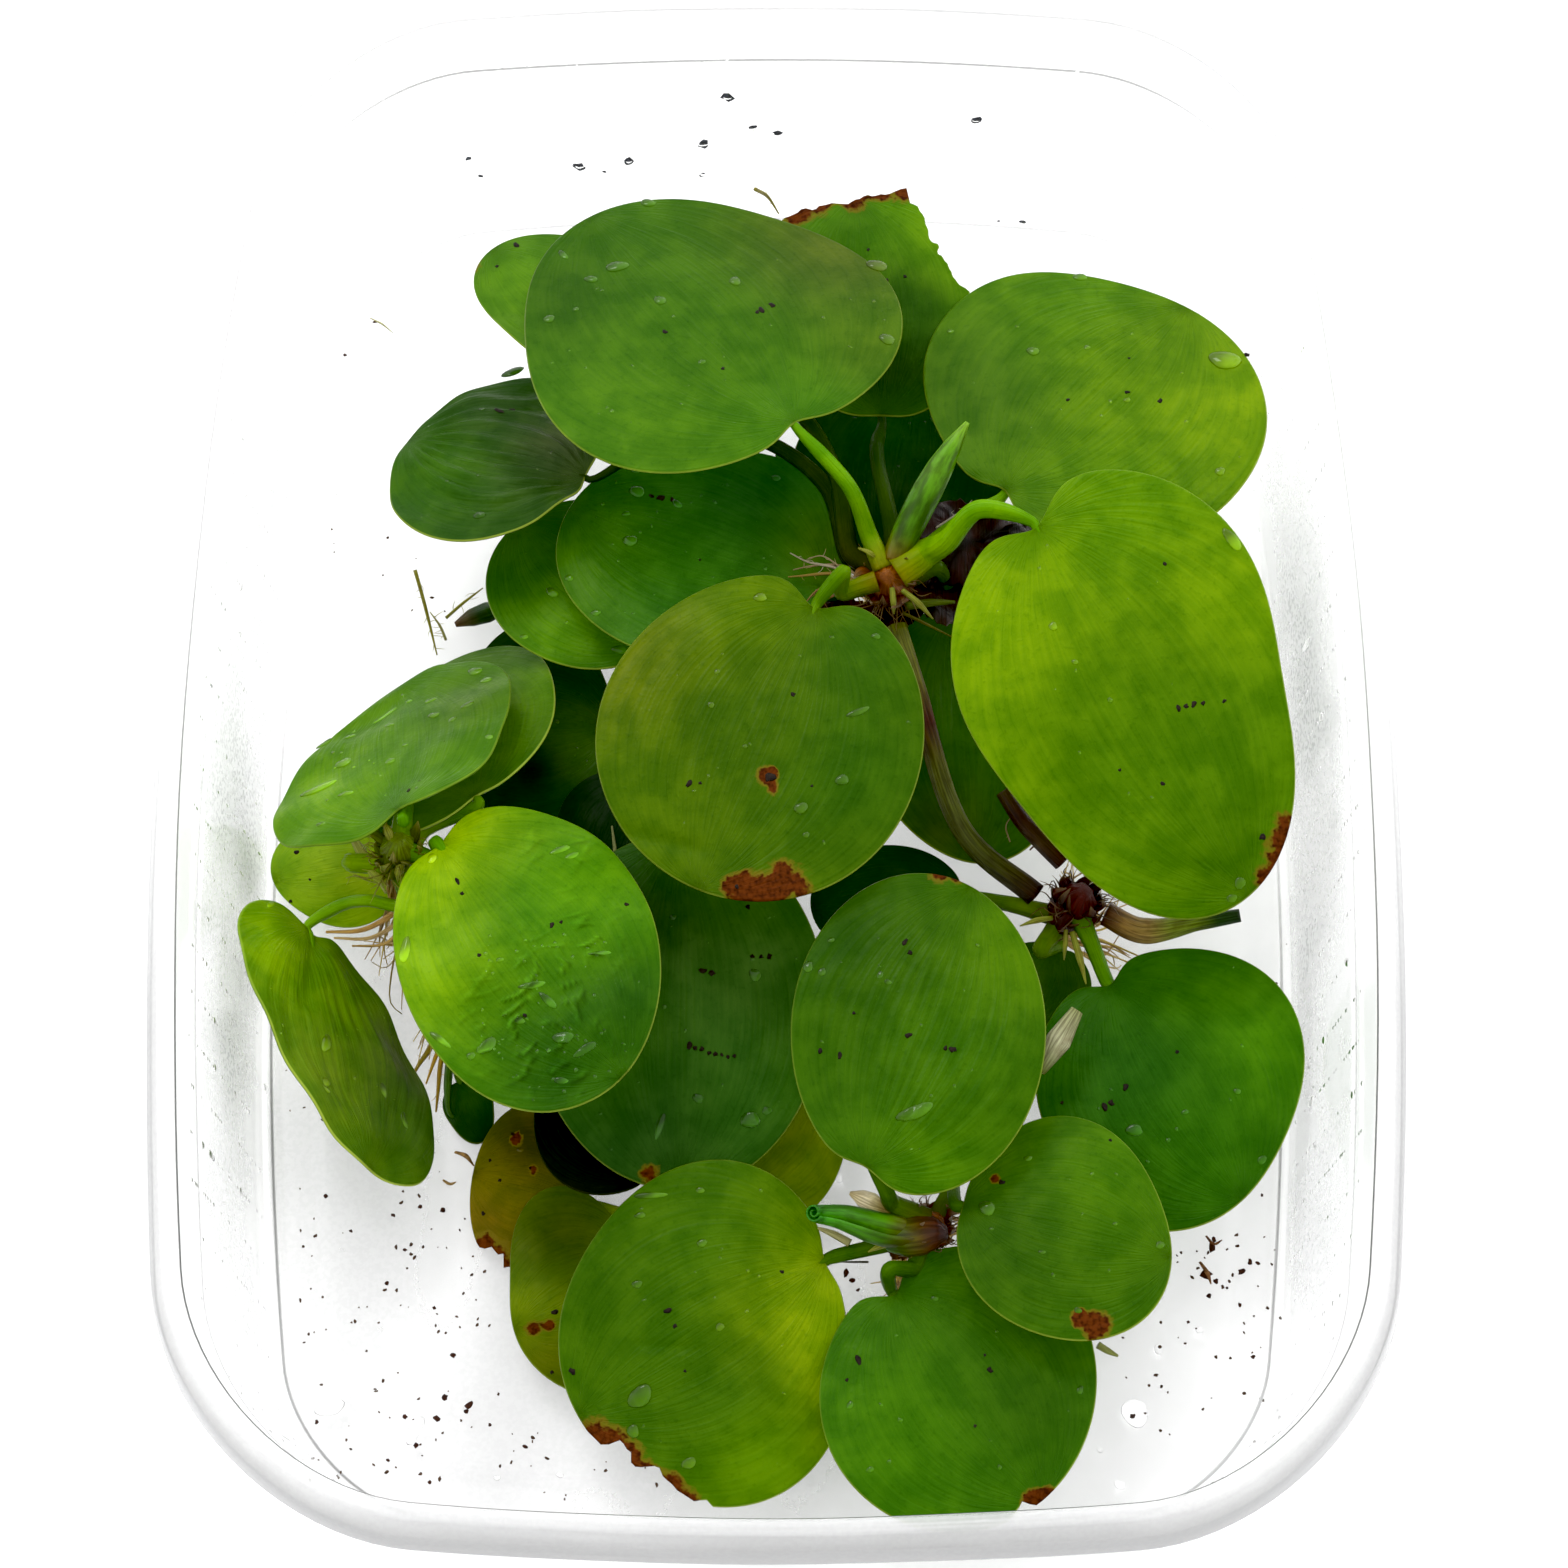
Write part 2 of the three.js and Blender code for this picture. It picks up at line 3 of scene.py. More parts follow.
import bpy
import numpy as np
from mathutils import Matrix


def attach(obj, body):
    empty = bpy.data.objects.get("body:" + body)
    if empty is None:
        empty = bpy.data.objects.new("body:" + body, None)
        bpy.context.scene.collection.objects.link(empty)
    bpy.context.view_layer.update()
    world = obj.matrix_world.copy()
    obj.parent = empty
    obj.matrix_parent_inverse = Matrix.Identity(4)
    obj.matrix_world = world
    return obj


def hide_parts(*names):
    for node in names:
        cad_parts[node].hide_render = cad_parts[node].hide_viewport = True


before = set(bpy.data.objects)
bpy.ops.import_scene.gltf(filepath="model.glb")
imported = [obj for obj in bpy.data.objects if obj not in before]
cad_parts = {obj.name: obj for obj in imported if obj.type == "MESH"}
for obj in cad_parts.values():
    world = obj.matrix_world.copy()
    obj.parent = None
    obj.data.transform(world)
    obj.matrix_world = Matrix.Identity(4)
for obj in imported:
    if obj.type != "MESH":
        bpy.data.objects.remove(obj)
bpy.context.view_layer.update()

# Lengths are in millimetres until a mesh or the camera is made, and in metres for the table and the lamp.
# The photograph's pixels are named px.
MM = 0.001
UP = np.array([0, 0, 1.0])

# Camera: where the photograph was taken from, its middle in px, and the nearest distance shown, in metres
CAMERA_AT = np.array([0.8, -134.5, 351.8])
CAMERA_TILT = math.radians(21.74)
LENS = 76.79
SENSOR = 36.0
PHOTO = 1568
SHARP_CENTRE_PX = (784, 785.5)
CLIP_START = 0.01
BLACK_LEVEL = 0.007

# Table and lamps, in metres, degrees and watts. The table lies just under the tub's foot.
TABLE_HALF = 1.6
TABLE_TOP = -0.05 * MM
WINDOW_SIZE = (0.35, 0.25)
WINDOW_AT = (-0.3, 0.6, 0.9)
WINDOW_TURN = (-36, 0, 26)
WINDOW_POWER = 2.4
FILL_STRENGTH = 1.3

# Tub: the mouth's inner top edge is a rounded rectangle whose sides bow outwards
MOUTH_HALF_WIDTH = 60
MOUTH_HALF_LENGTH = 82.8
SIDE_BOW = 6.2
END_BOW = 3.7
CORNER_STEPS = 20
SIDE_STEPS = 24
EDGE_ROUNDING = 0.28
ROUNDING_STEPS = (0, 0.33, 0.67, 1)
FLOOR_TOP = 1.9
# What lies lower than this belongs to the floor
FLOOR_BAND = 3
FACE_LENGTH = 1.6
# Slight waves of the moulded plastic: their height, and their lengths on the walls and on the floor's panel
MOULD_WAVES = 0.06
WALL_WAVE, PANEL_WAVE = 22, 30
# Stations of the section at the foot and the top of the inner wall
WALL_FOOT, WALL_TOP = 19, 18
# A place on the wall is looked for from this height down, in such steps, and is found this near to it
RIM_SIDE, WALL_STEP, WALL_REACH = 38, 0.25, 0.3
# The tub's tint is pale, but grey on the floor and at these stations of the section: on the rim's faces the
# grey is painted shade, on the floor and its edge it makes the plastic milkier
PALE = 0.93
FLOOR_GREY = 0.64
FACE_GREYS = {12: 0.42, 13: 0.42, 14: 0.52, 15: 0.58, 20: 0.68, 21: 0.66, 22: 0.66, 23: 0.65, 24: 0.64}
# The greys, which paint shade on faces turned to the front, weaken from the tub's front to its back: they are
# full in front of one y, and least behind another
GREY_FRONT, GREY_BACK = -35, 75
# The least share of a grey that stays at the back, and of one that is darker than DARK_GREY
GREY_LEAST, EDGE_LEAST = 0.2, 0.5
DARK_GREY = 0.6
# The floor is painted lighter on the right, where the shade from the back-left lamp falls, by this much a
# millimetre, and unevenly light by this much
FLOOR_PAINTED_LIGHT = 0.0011
FLOOR_STREAKS = 0.04
# Stations of the section whose sharp edge gets a painted dark line, standing for the dark surroundings that
# the clear edge shows, and its tint
PAINTED_EDGE_LINES = {16: 0.1, 11: 0.3, 17: 0.55, 20: 0.35}
# The step under the rim and the floor's edge show painted fine dark lines at the back, from one y on, and
# fully at another
BACK_LINES = {17: 0.42, 20: 0.52}
LINES_FROM, LINES_FULL = 64, 80

# Condensation on the tub's wall, with a painted dark green reflection of the leaves in it, as [middle, half
# length from front to back, strength], with its half width from side to side and its half height
FOG_HALF_WIDTH, FOG_HALF_HEIGHT = 14, 11
FOG_AND_REFLECTIONS = [
    [(-59, -14, 17), 26, 0.8], [(-58, 30, 15), 20, 0.25], [(60, 14, 14), 16, 0.7], [(61, -6, 16), 20, 0.8],
    [(57, 58, 20), 12, 0.2], [(58, -44, 16), 16, 0.3], [(-56, -50, 16), 14, 0.2], [(-14, 80, 14), 9, 0.14],
]

# Tub section from the middle of the underside, up the outside, over the rim and down the inside
# to the floor, as [distance in from the mouth edge, height, corner radius]
TUB_SECTION = [
    [22.5, 0.7, 9],
    [9.5, 0.7, 12],
    [8, 0, 13],
    [5, 0, 14.2],
    [3.6, 0.6, 15],
    [2.5, 3.0, 15.8],
    [0.1, 29.3, 19.7],
    [-0.3, 30.0, 20.1],
    [-0.8, 37.6, 20.6],
    [-1.3, 38.4, 21.1],
    [-2.1, 37.6, 21.9],
    [-3.0, 34.9, 22.8],
    [-3.7, 34.9, 23.5],
    [-2.9, 38.2, 22.7],
    [-1.6, 39.9, 21.4],
    [-0.5, 39.9, 20.3],
    [0, 39.3, 19.8],
    [0.5, 30.2, 19.3],
    [0.9, 29.6, 18.9],
    [3.3, 3.4, 15],
    [4, 1.8, 14.6],
    [5, 1.3, 14.2],
    [8, 1.3, 13],
    [9.5, 1.9, 12],
    [22.5, 1.9, 9],
    [24, 1.4, 8],
]

# Leaves: a blade is a sheet, thin at its edge, that droops a little towards its edge
BLADE_THICK = 0.9
BLADE_EDGE = 0.35
BLADE_DROOP = 0.9
NOTCH_ANGLE = 0.17
STALK_INSIDE = 2.6
# Radii of a stalk from the blade to the crown
STALK_SWELL = [0.3, 0.5, 0.74, 0.76, 0.78, 0.84, 0.95, 1.05]
GAP = 0.35
# Vein furrows on each half of a blade
FURROWS = 3.5
# A blade whose half sizes come to more than this on average has finer rings
SMALL_LEAF = 10
STALK_GREEN = "6a8c14"
LEAF_WARMTH = 0.08
LEAF_HAZE = 0.003
LEAF_DEPTH = 0.55
# Painted light and shade on wet puckers: how much the colour changes with the puckers' slope
PAINTED_PUCKER_LIGHT = 2.8
# The plan direction away from the light, where a painted highlight lies on a blade's edge and on a water bead
AWAY_FROM_LIGHT = np.array([0.55, -0.83])

# Crowns: the short stem of each rosette. at is its middle; lean is [degrees, direction it leans to].
CROWN_RADIUS = 2.6
CROWN_HALF_HEIGHT = 3.6
# Scales round a crown and torn fibres that stand off it, with their radii from root to tip
SCALES, FIBRES = 15, 46
SCALE_RADII = [0.75, 0.7, 0.4, 0.05]
FIBRE_RADII = [0.09, 0.07, 0.02]
GOLDEN_ANGLE = 137.5
BUD_GREENS = ("6f7a1c", "98a03c")
CROWNS = {
    "back": dict(at=[12.3, 21.1, 21.5], lean=[18, 250], size=1),
    "left": dict(at=[-40, -10.2, 20.5], lean=[12, 60], size=0.9),
    "front": dict(at=[15.6, -48.2, 11], lean=[20, 0], size=0.85),
    "right": dict(at=[31.8, -13.6, 13.4], lean=[20, 30], size=1),
    "middle": dict(at=[-12, 11, 8.5], lean=[0, 0], size=0.9),
    "under": dict(at=[-9.5, -47.2, 5.4], lean=[0, 0], size=0.75),
}

# Leaves. Directions are degrees anticlockwise from +X, seen from above.
# at: middle of the blade. slope: [degrees, direction the blade falls towards].
# turn: direction of the tip as seen from the stalk. half: [half length, half width].
# skew: turn of the length away from the tip. notch: depth of the notch at the stalk.
# egg: [share, direction] of the three-lobed term that makes the outline egg or heart shaped.
# cuts: torn straight edges, as [direction from the tip, distance from the middle].
# grip: [height above the crown's middle, direction] where the stalk grows out of the crown.
# via: points that a stalk passes on its way.
LEAVES = [
    # back rosette
    dict(name="leaf_back_left", crown="back", at=[-8.2, 48.2, 30.5], slope=[14, 80], turn=127,
         half=[21, 19.7], skew=79, egg=[0.07, 1], notch=1.4, grip=[2.2, 112], via=[[7.9, 28.7, 29.2]]),
    dict(name="leaf_back_right", crown="back", at=[34.7, 41.2, 26.2], slope=[10, 117], turn=49,
         half=[20.4, 17], skew=85, egg=[0.03, -35], notch=1.8, grip=[-0.6, 42], via=[[19.9, 27.1, 24]]),
    dict(name="leaf_right_large", crown="back", at=[36.8, 5.3, 30.6], slope=[12, 245], turn=-62,
         half=[24.7, 16.8], skew=-11, egg=[0.06, -1], notch=3.1, grip=[2.2, 32],
         via=[[21.6, 24.4, 32.5], [18.2, 22.7, 28]]),
    dict(name="leaf_middle", crown="back", at=[-1.5, 1, 27], slope=[4, 304], turn=-111,
         half=[18.4, 17.2], skew=-1, egg=[0.01, 48], notch=2.8, grip=[3.2, 196], via=[[7.1, 19.2, 28]]),
    dict(name="leaf_back_torn", crown="back", at=[10.2, 56.9, 21.8], slope=[6, 270], turn=96,
         half=[15.2, 12.4], skew=1, egg=[0.03, -23], notch=0.5, cuts=[[8, 12.2], [-69, 10.3]],
         grip=[-0.6, 86], via=[[11, 36, 22.6]]),
    dict(name="leaf_back_shaded", crown="back", at=[14.2, 37.2, 16], slope=[4, 39], turn=80,
         half=[13.2, 12.2], skew=-12, egg=[0.03, -35], notch=0.6, grip=[-3, 60], via=[]),
    dict(name="leaf_teal", crown="back", at=[-8.3, 26.3, 20.1], slope=[6, 108], turn=158,
         half=[16.3, 13.4], skew=29, egg=[0.03, -11], notch=0.6, grip=[-1.8, 186], via=[]),
    dict(name="leaf_under_large", crown="back", at=[20.6, 6.8, 13.4], slope=[3, 315], turn=-86,
         half=[15.4, 10.4], skew=3, egg=[0.04, 45], notch=0.6, grip=[-2.4, 20], via=[]),
    dict(name="leaf_back_brown_tip", crown="back", at=[-25.1, 56.6, 23.3], slope=[7, 124], turn=138,
         half=[9.9, 7.7], skew=-4, egg=[0.06, 24], notch=0.6, grip=[1, 142],
         via=[[-8, 45, 25.5], [1.5, 40.5, 26.2], [6.4, 32, 26]]),
    dict(name="leaf_ridged", crown="back", at=[-31.2, 37.4, 20.8], slope=[22, 103], turn=160,
         half=[13.9, 11.1], skew=84, egg=[0.02, 53], notch=0.5, grip=[-1.4, 146],
         via=[[-13, 37, 23.6], [-3, 38, 23.4], [5.4, 32, 23]]),
    # left rosette
    dict(name="leaf_left_wet", crown="left", at=[-40.8, 1.8, 21.1], slope=[40, 126], turn=104,
         half=[15.8, 11.9], skew=-47, egg=[0.06, -21], notch=0.6, grip=[1.8, 85], via=[]),
    dict(name="leaf_left_behind", crown="left", at=[-35.5, 5.6, 16], slope=[33, 126], turn=112,
         half=[15.4, 11.2], skew=-44, egg=[0.06, -14], notch=0.6, grip=[-2.2, 60], via=[]),
    dict(name="leaf_left_bright", crown="left", at=[-25.7, -22.5, 25], slope=[5, 53], turn=-52,
         half=[17.4, 13.5], skew=-20, egg=[0.01, -42], notch=1.2, grip=[1, 345], via=[]),
    dict(name="leaf_left_steep", crown="left", at=[-45.2, -29.2, 15.7], slope=[54, 20], turn=-76,
         half=[17.3, 10.2], skew=26, egg=[0.03, -50], notch=1.6, grip=[-1.8, 290],
         via=[[-46.8, -13.9, 14.6], [-43.4, -14.1, 16.8], [-40.2, -15, 17.6]]),
    dict(name="leaf_left_pale", crown="left", at=[-48.6, -5.7, 4.2], slope=[1, 0], turn=-170,
         half=[7.5, 6.4], skew=-25, egg=[0.03, -20], notch=0.5, grip=[-2.4, 180], via=[]),
    dict(name="leaf_left_young", crown="left", at=[-33.2, -33, 4], slope=[1, 270], turn=-70,
         half=[3.8, 2.7], skew=0, egg=[0.05, 0], notch=0.4, grip=[-2.6, 290], via=[[-35.6, -25, 4.6]]),
    # front rosette
    dict(name="leaf_front_ribbed", crown="front", at=[14.7, -29.9, 22], slope=[2, 270], turn=69,
         half=[17.3, 13.2], skew=18, egg=[0, 0], notch=1.2, grip=[2.4, 160], via=[[11.3, -46, 17.8]]),
    dict(name="leaf_front_small", crown="front", at=[29.5, -49.8, 17.5], slope=[4, 124], turn=-15,
         half=[12.1, 10.8], skew=-60, egg=[0.04, -23], notch=0.2, grip=[2, 62], via=[]),
    dict(name="leaf_front_right", crown="front", at=[18.7, -65.1, 13.5], slope=[2, 90], turn=-56,
         half=[15.2, 13.8], skew=-65, egg=[0.01, -2], notch=2.3, grip=[0.6, 250],
         via=[[11.6, -53.6, 14.8]]),
    dict(name="leaf_front_left", crown="front", at=[-7, -59.6, 12], slope=[8, 270], turn=-148,
         half=[17.7, 14.9], skew=62, egg=[0.04, -21], notch=0.9, cuts=[[28, 15.3]], grip=[-0.6, 205],
         via=[]),
    # right rosette
    dict(name="leaf_right_front", crown="right", at=[41.4, -33.1, 14], slope=[4, 214], turn=-61,
         half=[15.6, 13.8], skew=-53, egg=[0.04, -25], notch=1.9, grip=[0.4, 290], via=[]),
    dict(name="leaf_right_dark", crown="right", at=[27.4, -21.4, 8], slope=[2, 0], turn=-123,
         half=[7, 6], skew=-40, egg=[0.04, 46], notch=0.5, grip=[-2.6, 235], via=[]),
    dict(name="leaf_centre_dark", crown="right", at=[12.1, -11.2, 9.5], slope=[3, 180], turn=184,
         half=[8.5, 6.6], skew=-4, egg=[0, 0], notch=0.5, grip=[-2.4, 172], via=[]),
    # middle rosette, under the others
    dict(name="leaf_crescent", crown="middle", at=[-21.1, 23.8, 16.4], slope=[4, 124], turn=135,
         half=[11.5, 10.4], skew=17, egg=[0.01, 45], notch=0.6, grip=[0, 125], via=[]),
    dict(name="leaf_deep_shade", crown="middle", at=[-27.3, 9.6, 7.4], slope=[4, 180], turn=180,
         half=[13.5, 9.1], skew=-94, egg=[0.04, 46], notch=0.6, grip=[0, 185], via=[]),
    dict(name="leaf_dark_large", crown="middle", at=[-10.5, -24.3, 12.1], slope=[8, 270], turn=-90,
         half=[19.4, 15.8], skew=0, egg=[0.01, 10], notch=1, grip=[2.2, 268], via=[]),
    dict(name="leaf_dark_gap", crown="middle", at=[-16.5, -3.6, 8.4], slope=[3, 315], turn=-110,
         half=[8.7, 7.2], skew=54, egg=[0.02, 58], notch=0.6, grip=[-1, 240], via=[]),
    # lowest leaves, under the front ones
    dict(name="leaf_brown", crown="under", at=[-26.3, -42.1, 4.2], slope=[2, 270], turn=165,
         half=[9.9, 6.5], skew=100, egg=[0.01, -59], notch=0.6, cuts=[[68, 8.4]], grip=[-1, 165], via=[]),
    dict(name="leaf_olive_left", crown="under", at=[-20.7, -53.8, 5.8], slope=[3, 0], turn=-150,
         half=[11.5, 7.4], skew=77, egg=[0.06, 13], notch=0.6, grip=[0.4, 212], via=[]),
    dict(name="leaf_black_green", crown="under", at=[-17.2, -34.2, 8], slope=[3, 127], turn=120,
         half=[9.6, 8.8], skew=-60, egg=[0.03, 0], notch=0.6, grip=[1.6, 120], via=[]),
    dict(name="leaf_olive_right", crown="under", at=[-1.4, -37, 6], slope=[2, 0], turn=50,
         half=[9.7, 9], skew=-5, egg=[0.04, 0], notch=0.5, grip=[0, 50], via=[]),
]

# Shoots: radii from root to tip, and the points of the middle line. flat: thickness as a share of the width.
# grow: how much wider than its solid the form is. ridges and fibre: how rough its skin is.
PLAIN_SHOOT = dict(flat=1, grow=1.0, ridges=0.07, fibre=1)
# The rolled leaf's steps along and round, growth, number of turns and thickness
SCROLL_STEPS = (36, 56)
SCROLL_GROW, SCROLL_TURNS, SCROLL_THICK = 1.1, 1.6, 0.17
SHOOTS = {
    "bud_sheath": dict(
        radii=[1.4, 1.55, 1.65, 1.65, 1.45, 1.0, 0.25], ridges=0.02, fibre=0.3,
        path=[[12.7, 22.4, 24], [14.3, 25.4, 26], [16.1, 28.4, 28], [18.5, 32.4, 29.8], [20.6, 35.6, 31]]),
    "rolled_leaf": dict(
        radii=[0.9, 1.5, 1.8, 1.75, 1.5, 1.15, 0.9],
        path=[[15.5, -49.4, 12.4], [13.6, -49.2, 13.6], [11.1, -48.9, 14.3], [8.8, -48.4, 14.7],
              [6.4, -47.8, 14.8], [4.5, -47.7, 15.2], [3.8, -47.9, 16.2]]),
    "sheath_front": dict(
        radii=[0.3, 0.6, 0.85, 0.7, 0.15], flat=0.3, grow=1.35,
        path=[[12.2, -47.2, 13.2], [9.9, -46.3, 13.9], [7.6, -45.4, 14.4]]),
    "sheath_left": dict(
        radii=[0.5, 0.55, 0.65, 0.5, 0.2], flat=0.5,
        path=[[-41.2, -12.6, 18.6], [-42.4, -12, 18.6], [-43.6, -10.2, 18.8], [-45, -7.8, 18.2],
              [-45.4, -7.4, 17]]),
    "sheath_right": dict(
        radii=[0.4, 1.0, 0.5], flat=0.35, grow=1.35,
        path=[[27.4, -33.3, 17.5], [29.3, -30.2, 18.2], [31.4, -26.9, 18.6]]),
    "pale_bract": dict(
        radii=[1.5, 1.6, 1.0, 0.8], flat=0.55,
        path=[[35.2, -14.6, 14.2], [39, -16.3, 13.6], [45.3, -15.6, 14.2], [49.5, -15.1, 15]]),
    "runner_back_right": dict(
        radii=[1.3, 1.1, 1.1, 1.3],
        path=[[13, 17, 18.4], [15.2, 9.4, 18.4], [20.2, -6.6, 17.2], [27.8, -12.4, 14]]),
    "old_stalk_right": dict(
        radii=[0.8, 0.9, 1.0, 1.0],
        path=[[24.2, -2.6, 19.4], [26.2, -5.6, 18.6], [28.4, -7.8, 17.8], [30.6, -9.8, 16.9]]),
    "small_bud": dict(
        radii=[0.7, 1.2, 1.0, 0.3],
        path=[[-31.2, 26.2, 3.6], [-33, 25.7, 3.5], [-35, 25, 3.4], [-36.8, 24.3, 3.2]]),
}

# Root bundles: strands from the crown's underside to the tub's floor. tips are the strands' ends.
ROOTS_PER_STRAND = 14
ROOT_RADII = [0.2, 0.15, 0.13, 0.05]
ROOT_SPREAD = [[0.5], [0.9], [1.8], [2.4]]
ROOT_YELLOW, ROOT_TAN, ROOT_BROWN = "cdb95c", "a88a5c", "8a6a34"
ROOT_BUNDLES = {
    "roots_back": dict(crown="back", tips=[[5.5, 25.5, 3], [9, 30, 3], [13, 26, 3]]),
    "roots_left": dict(crown="left", tips=[[-43.5, -15.5, 2.8], [-39.5, -20.5, 2.8], [-37.2, -26, 2.8]]),
    "roots_front": dict(crown="front", tips=[[12, -54, 2.8], [20, -56, 2.8], [21, -45, 2.8]]),
    "roots_right": dict(crown="right", tips=[[38.5, -16, 3], [37.5, -10, 3], [33, -6, 3]]),
    "roots_middle": dict(crown="middle", tips=[[-16, 15, 2.8], [-7, 14, 2.8], [-10, 6, 2.8]]),
}

# Looks of each leaf. base: its main colour. tones: [place in px, reach in mm, colour]; a few tones and bases
# paint a shadow, shade or sheen, as noted at each.
# hurt: browned spots, as [place in px, reach in mm].
# bites: torn places in the edge, as [place in px, width, depth].
# folds: raised or sunk lines, as [ends in px, width in mm, height in mm].
# veins: depth of the fine arcs in mm. ribs: [height in mm, arcs per half blade, unevenness].
# waves: [height, size] of the blade's uneven surface.
# ripples: wet puckered skin, as [place in px, reach in mm, height in mm]; its slopes also get painted light
# and shade.
# pale: strength of the painted highlight line along the edge, strongest where the edge faces away from the
# light. stalk: how light the stalk is; low values paint shade on stalks that lie in shadow.
# stout: the stalk's thickness at the crown. tuck: how far under the blade, in mm, the stalk bends away.
PLAIN_LOOK = dict(
    base="3f7a10", tones=[], hurt=[], bites=[], folds=[], veins=0.04, ribs=[0, 5.5, 0], stalk=0.85,
    stout=1.1, tuck=0.0, waves=[0.25, 13], ripples=[], pale=0.6)
